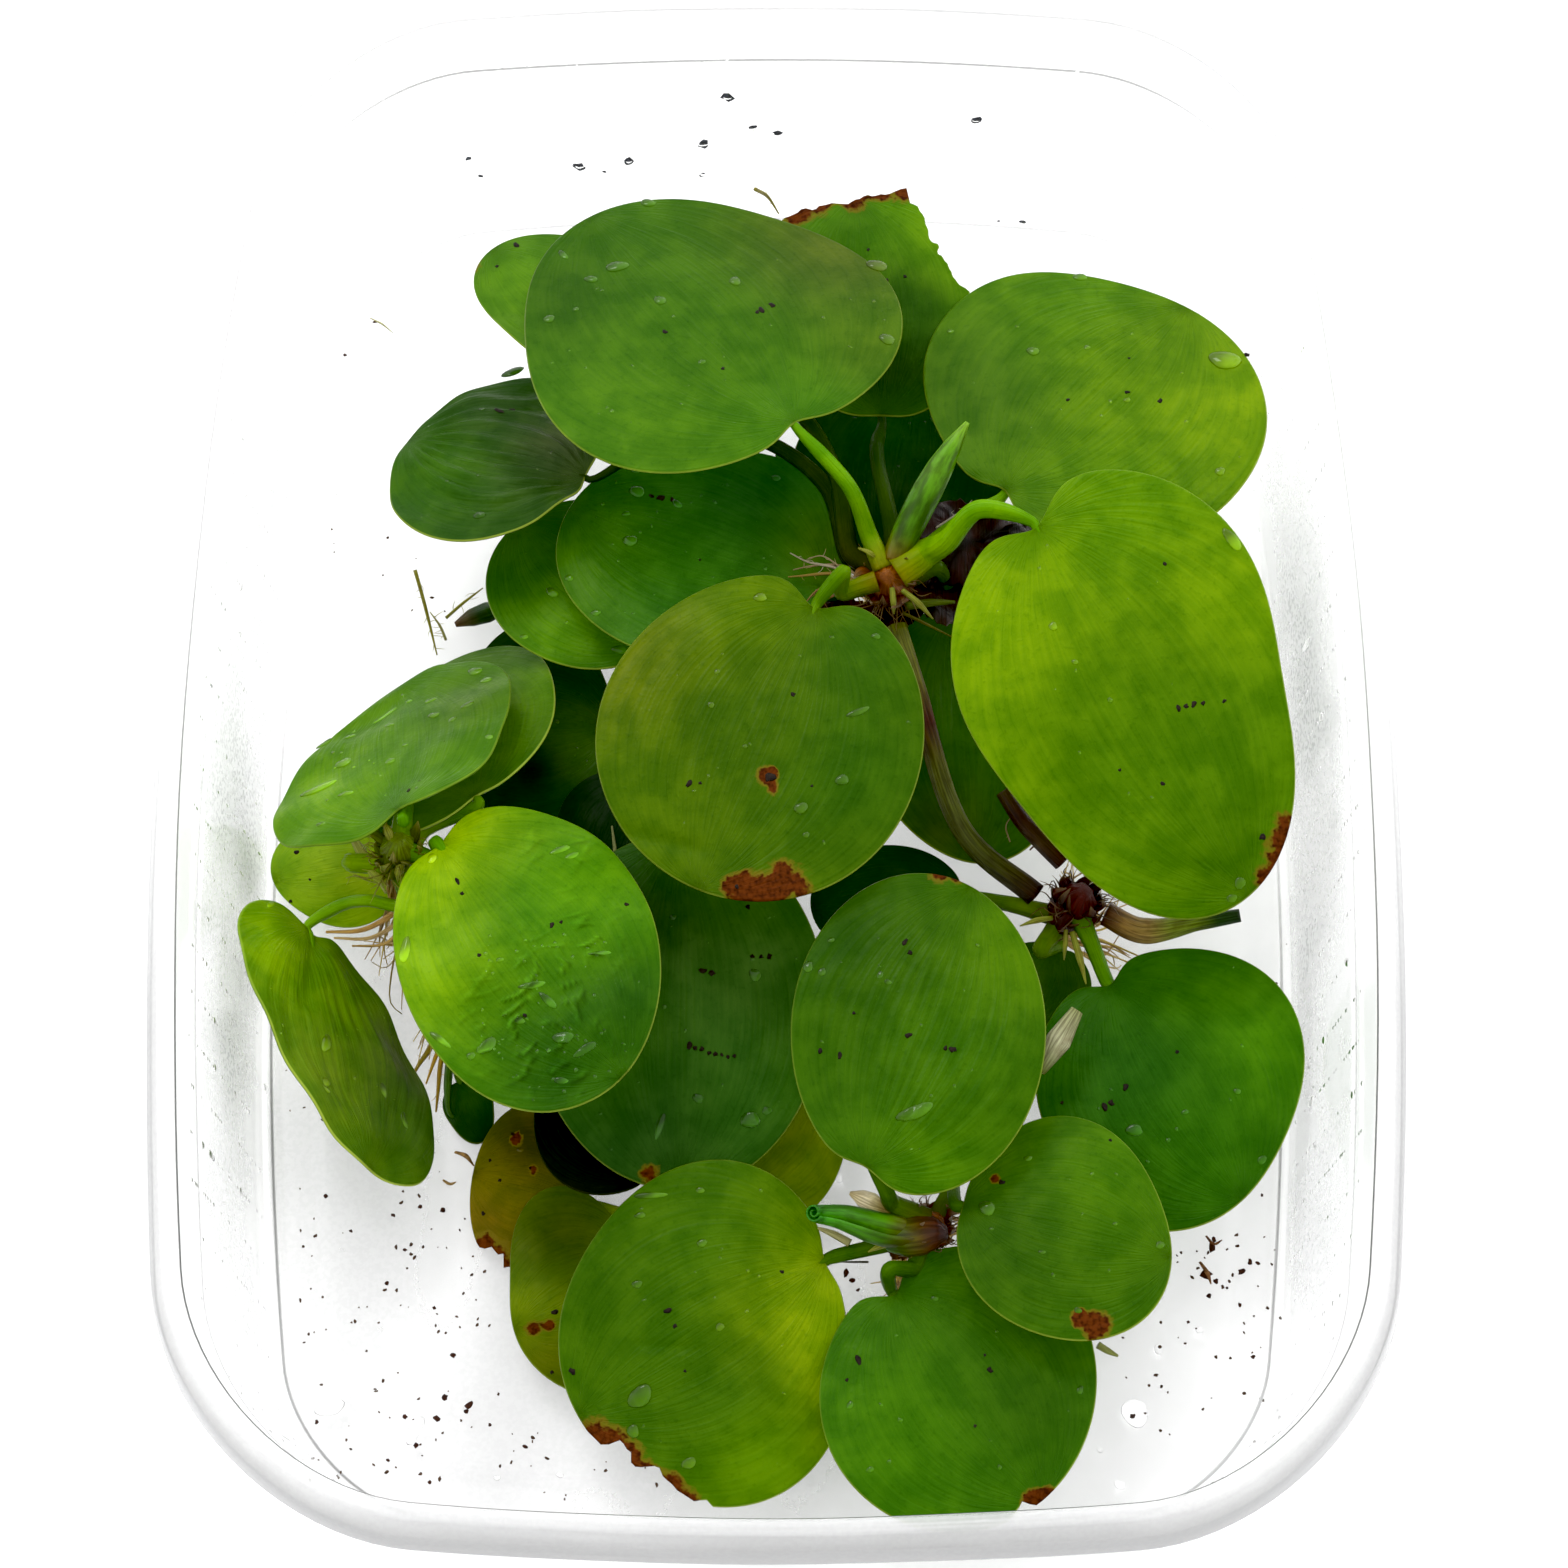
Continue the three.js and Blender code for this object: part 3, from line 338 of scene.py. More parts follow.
LOOKS = {
    "leaf_back_left": dict(
        stalk=1.15, base="3f7a08",
        tones=[
            # The grey-olive tone at (840, 240) is a painted sheen on the upper right.
            [(840, 240), 13, "55701c"], [(620, 430), 13, "4c8a08"], [(560, 290), 9, "356a0a"],
            [(790, 420), 9, "468806"], [(700, 340), 9, "3f7a06"], [(880, 350), 6, "4f7c10"]]),
    "leaf_back_right": dict(
        base="528a06",
        tones=[
            [(1210, 400), 13, "7fae02"], [(960, 400), 12, "42760a"], [(1100, 290), 10, "4e8a06"],
            [(1130, 480), 8, "5a9202"], [(1160, 350), 8, "5c9004"]]),
    "leaf_right_large": dict(
        stalk=0.95, stout=1.8, base="5f9802",
        tones=[
            [(1010, 620), 14, "86b802"], [(1120, 500), 10, "64a002"], [(1180, 700), 14, "4c8402"],
            [(1230, 860), 9, "447c02"], [(1030, 790), 10, "6ca002"], [(1240, 590), 8, "78ac06"],
            [(1110, 760), 8, "508802"]],
        hurt=[[(1284, 822), 1.0], [(1281, 840), 1.3], [(1275, 858), 1.3], [(1266, 876), 1.1]]),
    "leaf_middle": dict(
        base="4a7604",
        tones=[
            [(640, 650), 14, "687f02"], [(850, 760), 12, "346c04"], [(750, 600), 9, "608a02"],
            [(640, 800), 9, "507c02"], [(870, 640), 7, "3c7404"], [(740, 720), 8, "437004"]],
        hurt=[
            [(767, 776), 0.95], [(773, 788), 0.6], [(748, 894), 1.9], [(774, 889), 2.2], [(798, 884), 1.6],
            [(732, 886), 1.0], [(782, 872), 1.2]],
        folds=[
            [(602, 828), (700, 850), 0.8, -0.22], [(752, 690), (748, 780), 0.5, -0.12],
            [(700, 660), (690, 760), 0.5, -0.1]]),
    "leaf_back_torn": dict(
        stalk=0.16, base="4a9006",
        tones=[
            # The dark tone at (880, 350) is a painted shadow that leaf_back_left casts on this leaf.
            [(930, 250), 8, "70ae04"], [(880, 350), 10, "14390c"], [(850, 230), 8, "448008"],
            [(905, 310), 5, "2a6008"]],
        hurt=[
            [(800, 212), 1.7], [(822, 204), 1.5], [(850, 196), 1.8], [(880, 190), 1.5], [(906, 188), 1.5]]),
    "leaf_back_shaded": dict(stalk=0.4, base="17400f", tones=[[(890, 420), 6, "1f5a1c"]]),
    "leaf_teal": dict(
        stalk=0.35, base="2a741c",
        tones=[
            # The dark teal tone at (760, 480) is a painted shadow that leaf_back_left casts on this leaf's
            # top.
            [(590, 590), 9, "4a880a"], [(700, 600), 10, "388218"], [(760, 480), 9, "1c621e"],
            [(830, 560), 6, "48780a"]],
        waves=[0.3, 10]),
    "leaf_under_large": dict(
        stalk=0.5, base="2f620a", tones=[[(950, 740), 6, "2f640a"], [(940, 830), 5, "3a5a08"]]),
    "leaf_back_brown_tip": dict(
        stalk=0.16, base="427e0e", tones=[[(530, 290), 7, "5c9c12"]], hurt=[[(470, 266), 1.2]]),
    "leaf_ridged": dict(
        stalk=0.2, base="2c5e0c",
        # The grey-olive tone at (560, 440) is a painted sheen on the blade's right end.
        tones=[[(560, 440), 8, "465a30"], [(430, 470), 8, "387204"], [(500, 400), 6, "2a5410"]],
        ribs=[0.2, 4.2, 1.4], waves=[0.35, 6], pale=0.8),
    "leaf_left_wet": dict(
        base="4e8c06",
        tones=[[(320, 790), 7, "72b004"], [(470, 700), 8, "4c7c08"], [(360, 740), 6, "569004"]],
        folds=[[(335, 735), (440, 668), 1.2, 0.45]], waves=[0.4, 7], pale=0.3),
    "leaf_left_behind": dict(base="487c0c", tones=[[(535, 690), 5, "5a900a"]], pale=0.8),
    "leaf_left_bright": dict(
        base="4c9404",
        tones=[
            [(440, 860), 10, "b0e004"], [(415, 960), 8, "84c004"], [(620, 1000), 10, "245e06"],
            [(560, 1080), 9, "2a6606"], [(540, 900), 9, "489006"], [(600, 880), 7, "58a004"]],
        waves=[0.35, 9],
        ripples=[
            [(530, 1020), 8, 0.36], [(590, 950), 6, 0.26], [(560, 850), 5, 0.18], [(560, 1070), 6, 0.26]]),
    "leaf_left_steep": dict(
        stalk=1.1, stout=0.75, base="5a8c10", ribs=[0.06, 7, 1.2],
        tones=[
            # The grey-olive tone at (395, 1060) is a painted sheen on the steep blade's right half.
            [(275, 935), 8, "8ac00c"], [(395, 1060), 7, "5a7230"], [(330, 1080), 6, "729a1c"],
            [(410, 1140), 6, "4e7e18"], [(340, 1000), 6, "6a9e10"]],
        folds=[[(318, 935), (308, 1000), 1.0, -0.4], [(330, 960), (400, 1090), 1.4, 0.3]], waves=[0.4, 7],
        pale=1.0, hurt=[[(444, 1152), 0.9]]),
    "leaf_left_pale": dict(base="86bc18", tones=[[(360, 860), 5, "a4cc28"]], pale=0.2),
    "leaf_left_young": dict(
        base="14400a", tones=[[(470, 1090), 2.5, "255c08"]], pale=0.2,
        folds=[[(448, 1070), (452, 1112), 0.7, -0.4]]),
    "leaf_front_ribbed": dict(
        stalk=0.5, stout=1.15, tuck=2.4, base="386f04",
        tones=[
            [(1000, 960), 9, "528a02"], [(850, 1100), 9, "387006"], [(930, 1160), 7, "4a8804"],
            [(870, 950), 8, "316406"], [(960, 1060), 8, "3f7a04"]],
        ribs=[0.07, 9.5, 0.7], veins=0.03, hurt=[[(940, 874), 0.9], [(957, 876), 0.8]]),
    "leaf_front_small": dict(
        stalk=0.5, stout=0.8, base="3f7606",
        tones=[[(1110, 1170), 8, "4a8604"], [(1000, 1250), 7, "386c08"]],
        hurt=[[(1098, 1326), 1.3], [(1080, 1318), 0.8], [(995, 1178), 0.5]]),
    "leaf_front_right": dict(
        stalk=0.45, base="3a7a06",
        tones=[[(970, 1300), 9, "38720a"], [(880, 1440), 9, "408204"], [(1040, 1400), 8, "336a06"]],
        hurt=[[(1034, 1502), 1.1], [(1050, 1496), 0.8]], bites=[[(1022, 1510), 1.1, 0.8]]),
    "leaf_front_left": dict(
        stalk=0.45, base="437a04",
        tones=[
            [(800, 1330), 12, "8cb202"], [(720, 1410), 8, "306608"], [(620, 1280), 9, "3c6e06"],
            [(760, 1470), 7, "5c9202"], [(640, 1350), 8, "3f7406"], [(700, 1230), 8, "467c08"]],
        hurt=[
            [(594, 1440), 2.0], [(606, 1452), 2.2], [(622, 1466), 2.2], [(642, 1480), 2.0],
            [(664, 1492), 1.7], [(688, 1502), 1.2]],
        bites=[[(612, 1462), 1.4, 1.2], [(648, 1488), 1.0, 0.6]],
        folds=[[(640, 1345), (700, 1350), 0.6, -0.12], [(700, 1470), (770, 1380), 2.0, 0.12]]),
    "leaf_right_front": dict(
        base="2a6c06",
        # The dark tone at (1120, 1080) is a painted shadow that leaf_front_ribbed casts on this leaf's left
        # part.
        tones=[[(1250, 1040), 9, "458c02"], [(1120, 1080), 9, "286c10"], [(1200, 1160), 7, "2c7204"]]),
    "leaf_right_dark": dict(pale=0.15, base="2c560a", tones=[[(1060, 960), 4, "2a5a0a"]]),
    "leaf_centre_dark": dict(pale=0.1, base="173f0c"),
    "leaf_crescent": dict(base="2c6c08", tones=[[(550, 625), 6, "62a606"], [(515, 560), 7, "2e6a0a"]]),
    "leaf_deep_shade": dict(
        # The dark base and the near-black tone at (530, 770) are painted shade, where this leaf lies under
        # leaf_left_wet and leaf_left_behind.
        base="173c0a", tones=[[(575, 750), 6, "3c6e10"], [(530, 770), 4, "10260a"]], pale=0.15,
        waves=[0.5, 8]),
    "leaf_dark_large": dict(
        base="326c1c",
        tones=[
            [(640, 1140), 9, "285c18"], [(780, 1100), 8, "36721c"], [(720, 960), 9, "3e7020"],
            # The dark tone at (640, 920) is a painted shadow that leaf_left_bright casts beside its edge.
            [(640, 920), 6, "1a4210"]],
        hurt=[[(648, 1174), 1.0]], waves=[0.3, 9]),
    "leaf_dark_gap": dict(pale=0.1, base="143610"),
    "leaf_brown": dict(
        pale=0.25, base="626604",
        tones=[[(500, 1180), 5, "807e06"], [(530, 1140), 5, "4c4a06"], [(480, 1230), 4, "7a6a0c"]],
        hurt=[
            [(484, 1250), 1.6], [(497, 1258), 1.8], [(506, 1272), 1.5], [(516, 1140), 0.6],
            [(533, 1170), 0.6]],
        bites=[[(492, 1262), 1.2, 1.0]]),
    "leaf_olive_left": dict(
        pale=0.35, base="5e7c04",
        tones=[[(530, 1310), 6, "729604"], [(560, 1230), 6, "445a08"], [(545, 1370), 5, "627608"]],
        hurt=[[(533, 1330), 0.8], [(549, 1325), 0.6]]),
    # Its near-black base is painted shade: the leaf lies in the shade between leaf_brown and leaf_dark_large.
    "leaf_black_green": dict(pale=0.05, base="0a1404"),
    "leaf_olive_right": dict(pale=0.2, base="68860c", tones=[[(820, 1140), 5, "749010"]]),
}

# Water drops on the leaves, as [place in px, half width and half length in mm, turn in degrees]
DROPS = {
    "leaf_back_left": [
        [(591, 278), 0.75, 0.55, 0], [(660, 301), 0.75, 0.6, 0], [(735, 281), 0.7, 0.65, 0],
        [(887, 340), 0.85, 0.75, 0], [(702, 362), 0.45, 0.3, 0], [(549, 317), 0.7, 0.5, 10],
        [(877, 266), 1.2, 0.9, -30], [(617, 266), 1.3, 0.8, 20], [(563, 253), 0.9, 0.35, -60],
        [(648, 204), 0.9, 0.6, 0], [(576, 308), 0.35, 0.3, 0], [(602, 290), 0.25, 0.2, 0],
        [(612, 412), 0.3, 0.25, 0]],
    "leaf_back_right": [
        [(1225, 360), 1.9, 1.2, 0], [(1080, 276), 0.9, 0.5, 0], [(1033, 352), 0.7, 0.6, 0],
        [(1087, 348), 0.4, 0.3, 0], [(1220, 472), 0.6, 0.5, 0], [(1127, 400), 0.4, 0.3, 0],
        [(950, 330), 0.4, 0.3, 0]],
    "leaf_right_large": [
        [(1053, 626), 0.5, 0.45, 0], [(1075, 662), 0.35, 0.3, 0], [(1240, 883), 0.65, 0.6, 0],
        [(1232, 898), 0.6, 0.4, 0], [(1232, 540), 1.5, 0.6, -60], [(1110, 700), 0.3, 0.3, 0]],
    "leaf_middle": [
        [(842, 780), 0.7, 0.65, 0], [(801, 808), 0.75, 0.65, 0], [(858, 712), 1.3, 0.4, 25],
        [(876, 636), 0.5, 0.4, 0], [(711, 705), 0.4, 0.35, 0], [(760, 598), 0.8, 0.5, 10],
        [(832, 636), 0.3, 0.2, 0], [(717, 672), 0.35, 0.3, 0], [(806, 835), 0.4, 0.3, 0],
        [(745, 746), 0.3, 0.25, 0]],
    "leaf_teal": [
        [(637, 491), 0.85, 0.8, 0], [(630, 540), 0.8, 0.75, 0], [(626, 513), 0.45, 0.3, 0],
        [(637, 470), 0.7, 0.45, 0], [(677, 503), 0.7, 0.4, -40], [(569, 578), 0.5, 0.45, 0],
        [(596, 613), 0.6, 0.35, 10], [(781, 455), 0.7, 0.5, 0], [(776, 477), 0.5, 0.4, 0]],
    "leaf_crescent": [[(552, 592), 0.8, 0.5, -30], [(620, 650), 0.9, 0.5, 0], [(524, 636), 0.5, 0.3, 0]],
    "leaf_ridged": [[(480, 516), 0.65, 0.5, 0], [(513, 373), 1.4, 0.7, 20], [(482, 410), 0.4, 0.3, 0]],
    "leaf_left_wet": [
        [(318, 788), 2.2, 0.7, 10], [(343, 762), 1.0, 0.7, 10], [(475, 671), 0.9, 0.6, 0],
        [(485, 678), 0.8, 0.5, 0], [(434, 716), 0.7, 0.5, 0], [(430, 700), 0.8, 0.4, 20],
        [(325, 746), 1.1, 0.45, 30], [(350, 736), 0.7, 0.4, 10], [(390, 726), 0.6, 0.35, 0],
        [(453, 720), 0.5, 0.4, 0], [(408, 700), 0.5, 0.3, 0], [(390, 761), 0.6, 0.45, 0],
        [(405, 745), 0.35, 0.3, 0], [(468, 706), 0.9, 0.4, 30], [(488, 735), 0.5, 0.35, 0],
        [(322, 826), 0.6, 0.35, 0], [(346, 794), 0.9, 0.35, 0], [(384, 712), 1.6, 0.4, 35]],
    "leaf_left_bright": [
        [(560, 850), 1.3, 0.35, 25], [(572, 856), 0.8, 0.35, 30], [(405, 950), 1.6, 0.5, 80],
        [(563, 1038), 1.2, 0.6, 0], [(585, 1050), 1.4, 0.45, 30], [(440, 1040), 1.4, 0.35, -35],
        [(471, 1056), 0.5, 0.4, 0], [(561, 1080), 0.8, 0.35, 0], [(600, 953), 1.3, 0.25, 5],
        [(500, 960), 0.4, 0.3, 0], [(532, 985), 1.6, 0.35, 10], [(548, 1000), 1.3, 0.4, -40],
        [(487, 1045), 1.2, 0.7, 50], [(520, 1020), 0.5, 0.4, 0], [(432, 858), 0.6, 0.5, 60]],
    "leaf_left_steep": [
        [(327, 1043), 1.2, 0.6, 80], [(326, 1082), 0.7, 0.5, 60], [(325, 1090), 0.6, 0.4, 0],
        [(383, 1090), 0.9, 0.35, -60], [(405, 1120), 1.0, 0.4, -70], [(270, 905), 0.7, 0.3, 40]],
    "leaf_dark_large": [
        [(755, 975), 0.7, 0.65, 0], [(750, 1120), 1.2, 0.8, 10], [(698, 1098), 0.6, 0.55, 0],
        [(767, 1111), 0.6, 0.4, 0], [(673, 917), 0.4, 0.3, 0], [(660, 1126), 1.5, 0.4, 70]],
    "leaf_front_ribbed": [
        [(915, 1112), 2.0, 0.75, 25], [(808, 967), 0.7, 0.5, 60], [(880, 975), 0.5, 0.3, 60],
        [(831, 940), 0.4, 0.3, 0], [(888, 982), 0.4, 0.3, 0], [(822, 972), 0.5, 0.4, 40]],
    "leaf_right_front": [
        [(1134, 1130), 1.0, 0.6, 0], [(1237, 1092), 0.4, 0.35, 0], [(1262, 1160), 0.6, 0.4, 30],
        [(1168, 1140), 0.3, 0.25, 0], [(1185, 1112), 0.4, 0.3, 0]],
    "leaf_front_small": [
        [(987, 1208), 1.0, 0.7, -40], [(1042, 1252), 0.4, 0.2, 0], [(1160, 1245), 0.5, 0.4, 0],
        [(1028, 1158), 0.5, 0.3, 0], [(1115, 1224), 0.3, 0.2, 0], [(1078, 1310), 0.4, 0.3, 0]],
    "leaf_front_right": [
        [(992, 1303), 0.6, 0.5, 0], [(935, 1298), 0.4, 0.3, 0], [(1080, 1390), 0.5, 0.3, 60],
        [(850, 1405), 0.5, 0.3, 60], [(870, 1470), 0.4, 0.3, 0], [(900, 1420), 0.3, 0.25, 0]],
    "leaf_front_left": [
        [(640, 1396), 1.5, 1.0, 55], [(633, 1431), 0.7, 0.65, 0], [(689, 1463), 0.75, 0.6, 40],
        [(720, 1327), 0.5, 0.4, 0], [(637, 1284), 0.6, 0.4, 0], [(640, 1215), 0.6, 0.35, 0],
        [(650, 1195), 1.8, 0.35, 5], [(702, 1243), 0.6, 0.4, 0], [(700, 1190), 0.5, 0.35, 0]],
    "leaf_brown": [[(520, 1150), 0.4, 0.3, 0]],
}

# Height of a drop as a share of its smaller half width
DROP_HEIGHT = 0.42

# Fine beads on wet leaves, as [two corners in px, number], with their least and largest half width
BEAD_SIZES = (0.1, 0.28)
BEAD_FIELDS = {
    "leaf_left_bright": [((480, 930), (640, 1105)), 80], "leaf_left_wet": [((300, 680), (500, 820)), 30],
    "leaf_left_steep": [((260, 920), (440, 1150)), 34], "leaf_back_left": [((540, 230), (900, 440)), 26],
    "leaf_back_right": [((940, 290), (1250, 490)), 14], "leaf_right_large": [((980, 540), (1270, 880)), 12],
    "leaf_teal": [((570, 470), (850, 620)), 34], "leaf_dark_large": [((590, 900), (800, 1150)), 22],
    "leaf_middle": [((620, 600), (910, 860)), 14], "leaf_front_ribbed": [((810, 900), (1020, 1150)), 16],
    "leaf_front_left": [((590, 1180), (830, 1480)), 16],
    "leaf_front_right": [((840, 1290), (1080, 1490)), 12],
    "leaf_right_front": [((1060, 960), (1290, 1210)), 14],
    "leaf_front_small": [((970, 1130), (1160, 1330)), 10],
    "leaf_ridged": [((400, 380), (590, 530)), 14], "leaf_back_shaded": [((800, 400), (960, 520)), 30],
    "leaf_crescent": [((490, 520), (620, 660)), 10], "leaf_deep_shade": [((540, 680), (600, 800)), 8],
}

# Limp sheets of decayed sheath under the crowns, whose near-black colour also paints the shade in the gaps
# there: [middle, half sizes, slope, colour, lighter colour]
OLD_TISSUE_AND_SHADE = [
    [[16.2, 22, 17.2], [5.6, 4.2], [10, 20], "120a06", "2c1608"],
    [[21.4, 27.8, 18], [8, 5.4], [10, 60], "0e0504", "28100a"],
    [[7.4, 18, 17.2], [5.4, 3], [8, 200], "140804", "341a0a"],
    [[14.6, -49.4, 10.6], [3.4, 2.2], [8, 250], "2a1408", "4c300c"],
]

# Drops on the tub's floor, as the leaves' drops are given; on its wall, without the turn; and fogged
# stretches of wall, as [direction seen from the middle in degrees, spread in degrees, number of fine drops]
FLOOR_DROPS = [
    [(1135, 1413), 1.5, 1.4, 0], [(415, 1430), 0.8, 1.5, -25], [(330, 1408), 1.6, 0.8, 10],
    [(1220, 1410), 0.55, 0.6, 0], [(1217, 1445), 0.5, 0.55, 0], [(1120, 1485), 0.6, 0.5, 0],
    [(275, 1360), 0.5, 0.8, 0], [(839, 1178), 0.5, 0.5, 0], [(1245, 1400), 0.35, 0.35, 0],
    [(560, 1475), 0.4, 0.3, 0], [(497, 1478), 0.35, 0.3, 0], [(1200, 1330), 0.4, 0.4, 0],
    [(380, 1330), 0.3, 0.35, 0], [(342, 1250), 0.35, 0.3, 0], [(298, 690), 0.4, 0.6, 0],
    [(340, 600), 0.3, 0.3, 0], [(1158, 1350), 0.4, 0.5, 20], [(1100, 1450), 0.35, 0.3, 0],
]
WALL_DROPS = [
    [(1303, 640), 0.5, 1.8], [(1315, 1125), 0.8, 1.0], [(1290, 1235), 0.6, 0.8], [(248, 1215), 0.5, 0.9],
    [(698, 146), 0.55, 0.4], [(741, 131), 0.8, 0.6], [(702, 175), 0.5, 0.5], [(780, 171), 0.9, 0.5],
    [(577, 168), 0.6, 0.4], [(635, 162), 0.4, 0.35], [(987, 125), 0.5, 0.3], [(735, 99), 0.5, 0.4],
    [(1017, 236), 0.4, 0.35], [(1316, 700), 0.5, 0.7], [(1310, 560), 0.4, 0.9], [(1345, 960), 0.5, 0.6],
    [(262, 1075), 0.6, 0.9], [(210, 1180), 0.5, 0.9],
]
# Lowest and highest fine drop, their half widths, and how much larger a few of them have grown
FOGGED_HEIGHTS = (5, 34)
FOG_SIZES = (0.1, 0.24)
GROWN, GROWN_SHARE = 2.2, 0.06
FOGGED_WALLS = [
    [0, 22, 330], [180, 24, 330], [40, 12, 60], [140, 12, 60], [215, 12, 90], [325, 12, 90], [90, 20, 60],
]

# Dirt. Crumbs on the floor, as [place in px, half width in mm, length share]; fields of fine crumbs, as
# [two corners in px, number]; grey flecks on the wall; and curled shreds, as
# [points in px with their heights, radius, colour]
CRUMB_BROWN, FINE_BROWN, FLECK_GREY, SPECK_BROWN = "3a1c0c", "4a3420", "4c5058", "1d1208"
FLOOR_CRUMBS = [
    [(326, 1196), 0.25, 1.2], [(393, 1215), 0.22, 1.4], [(420, 1207), 0.25, 1], [(443, 1210), 0.3, 1.2],
    [(405, 1250), 0.2, 1.4], [(387, 1283), 0.25, 1.2], [(434, 1308), 0.25, 1], [(453, 1355), 0.3, 1.5],
    [(445, 1397), 0.35, 1.2], [(469, 1405), 0.4, 1.4], [(466, 1411), 0.3, 1.2], [(405, 1417), 0.3, 1],
    [(416, 1445), 0.3, 1.3], [(317, 1422), 0.25, 1], [(525, 1447), 0.25, 1.3], [(436, 1418), 0.35, 1.3],
    [(1242, 1271), 0.35, 1.6], [(1250, 1262), 0.3, 1.3], [(1258, 1263), 0.25, 1.2],
    [(1212, 1247), 0.45, 1.5], [(1206, 1274), 0.55, 1.4], [(1214, 1240), 0.3, 1.2],
    [(1209, 1296), 0.3, 1.2], [(1240, 1305), 0.25, 1.2], [(1216, 1281), 0.3, 1.1],
    [(1133, 1416), 0.28, 1.2], [(1253, 1357), 0.25, 1.2], [(1188, 1322), 0.2, 1], [(1227, 1288), 0.2, 1],
    [(846, 1273), 0.35, 1.5], [(852, 1281), 0.3, 1.3], [(858, 1290), 0.2, 1.2], [(374, 1168), 0.2, 1],
    [(351, 1231), 0.2, 1.3], [(490, 1425), 0.2, 1.2], [(388, 1460), 0.22, 1], [(430, 1482), 0.22, 1.2],
    [(1262, 1195), 0.2, 1], [(345, 355), 0.25, 1], [(375, 322), 0.2, 1.5],
]
FINE_SIZES = (0.07, 0.2)
CRUMB_FIELDS = [
    [((300, 1170), (500, 1480)), 90], [((1120, 1230), (1290, 1450)), 60], [((500, 1430), (800, 1500)), 26],
    [((330, 480), (470, 620)), 14], [((280, 1000), (400, 1180)), 20], [((1230, 900), (1330, 1200)), 14],
]
WALL_CRUMBS = [
    [(577, 168), 0.75], [(635, 162), 0.6], [(698, 146), 0.75], [(735, 99), 0.7], [(768, 135), 0.5],
    [(472, 159), 0.35], [(484, 177), 0.3], [(987, 125), 0.65], [(1017, 236), 0.45], [(742, 130), 0.5],
    [(615, 171), 0.25], [(706, 176), 0.4], [(1000, 246), 0.2], [(208, 1183), 0.25], [(214, 690), 0.2],
]
SHREDS = [
    [[(455, 1152, 2.3), (466, 1156, 2.8), (474, 1166, 2.2)], 0.3, "8a6c3c"],
    [[(443, 1180, 2.2), (450, 1184, 2.6), (456, 1182, 2.1)], 0.22, "a88c58"],
    [[(370, 318, 2.3), (382, 324, 2.5), (393, 333, 2.2)], 0.16, "a8a878"],
    [[(1206, 1236, 2.2), (1214, 1244, 2.7), (1222, 1240, 2.2)], 0.22, "6a4424"],
    [[(1200, 1262, 2.2), (1208, 1274, 2.8), (1211, 1284, 2.2)], 0.3, "7a5430"],
]

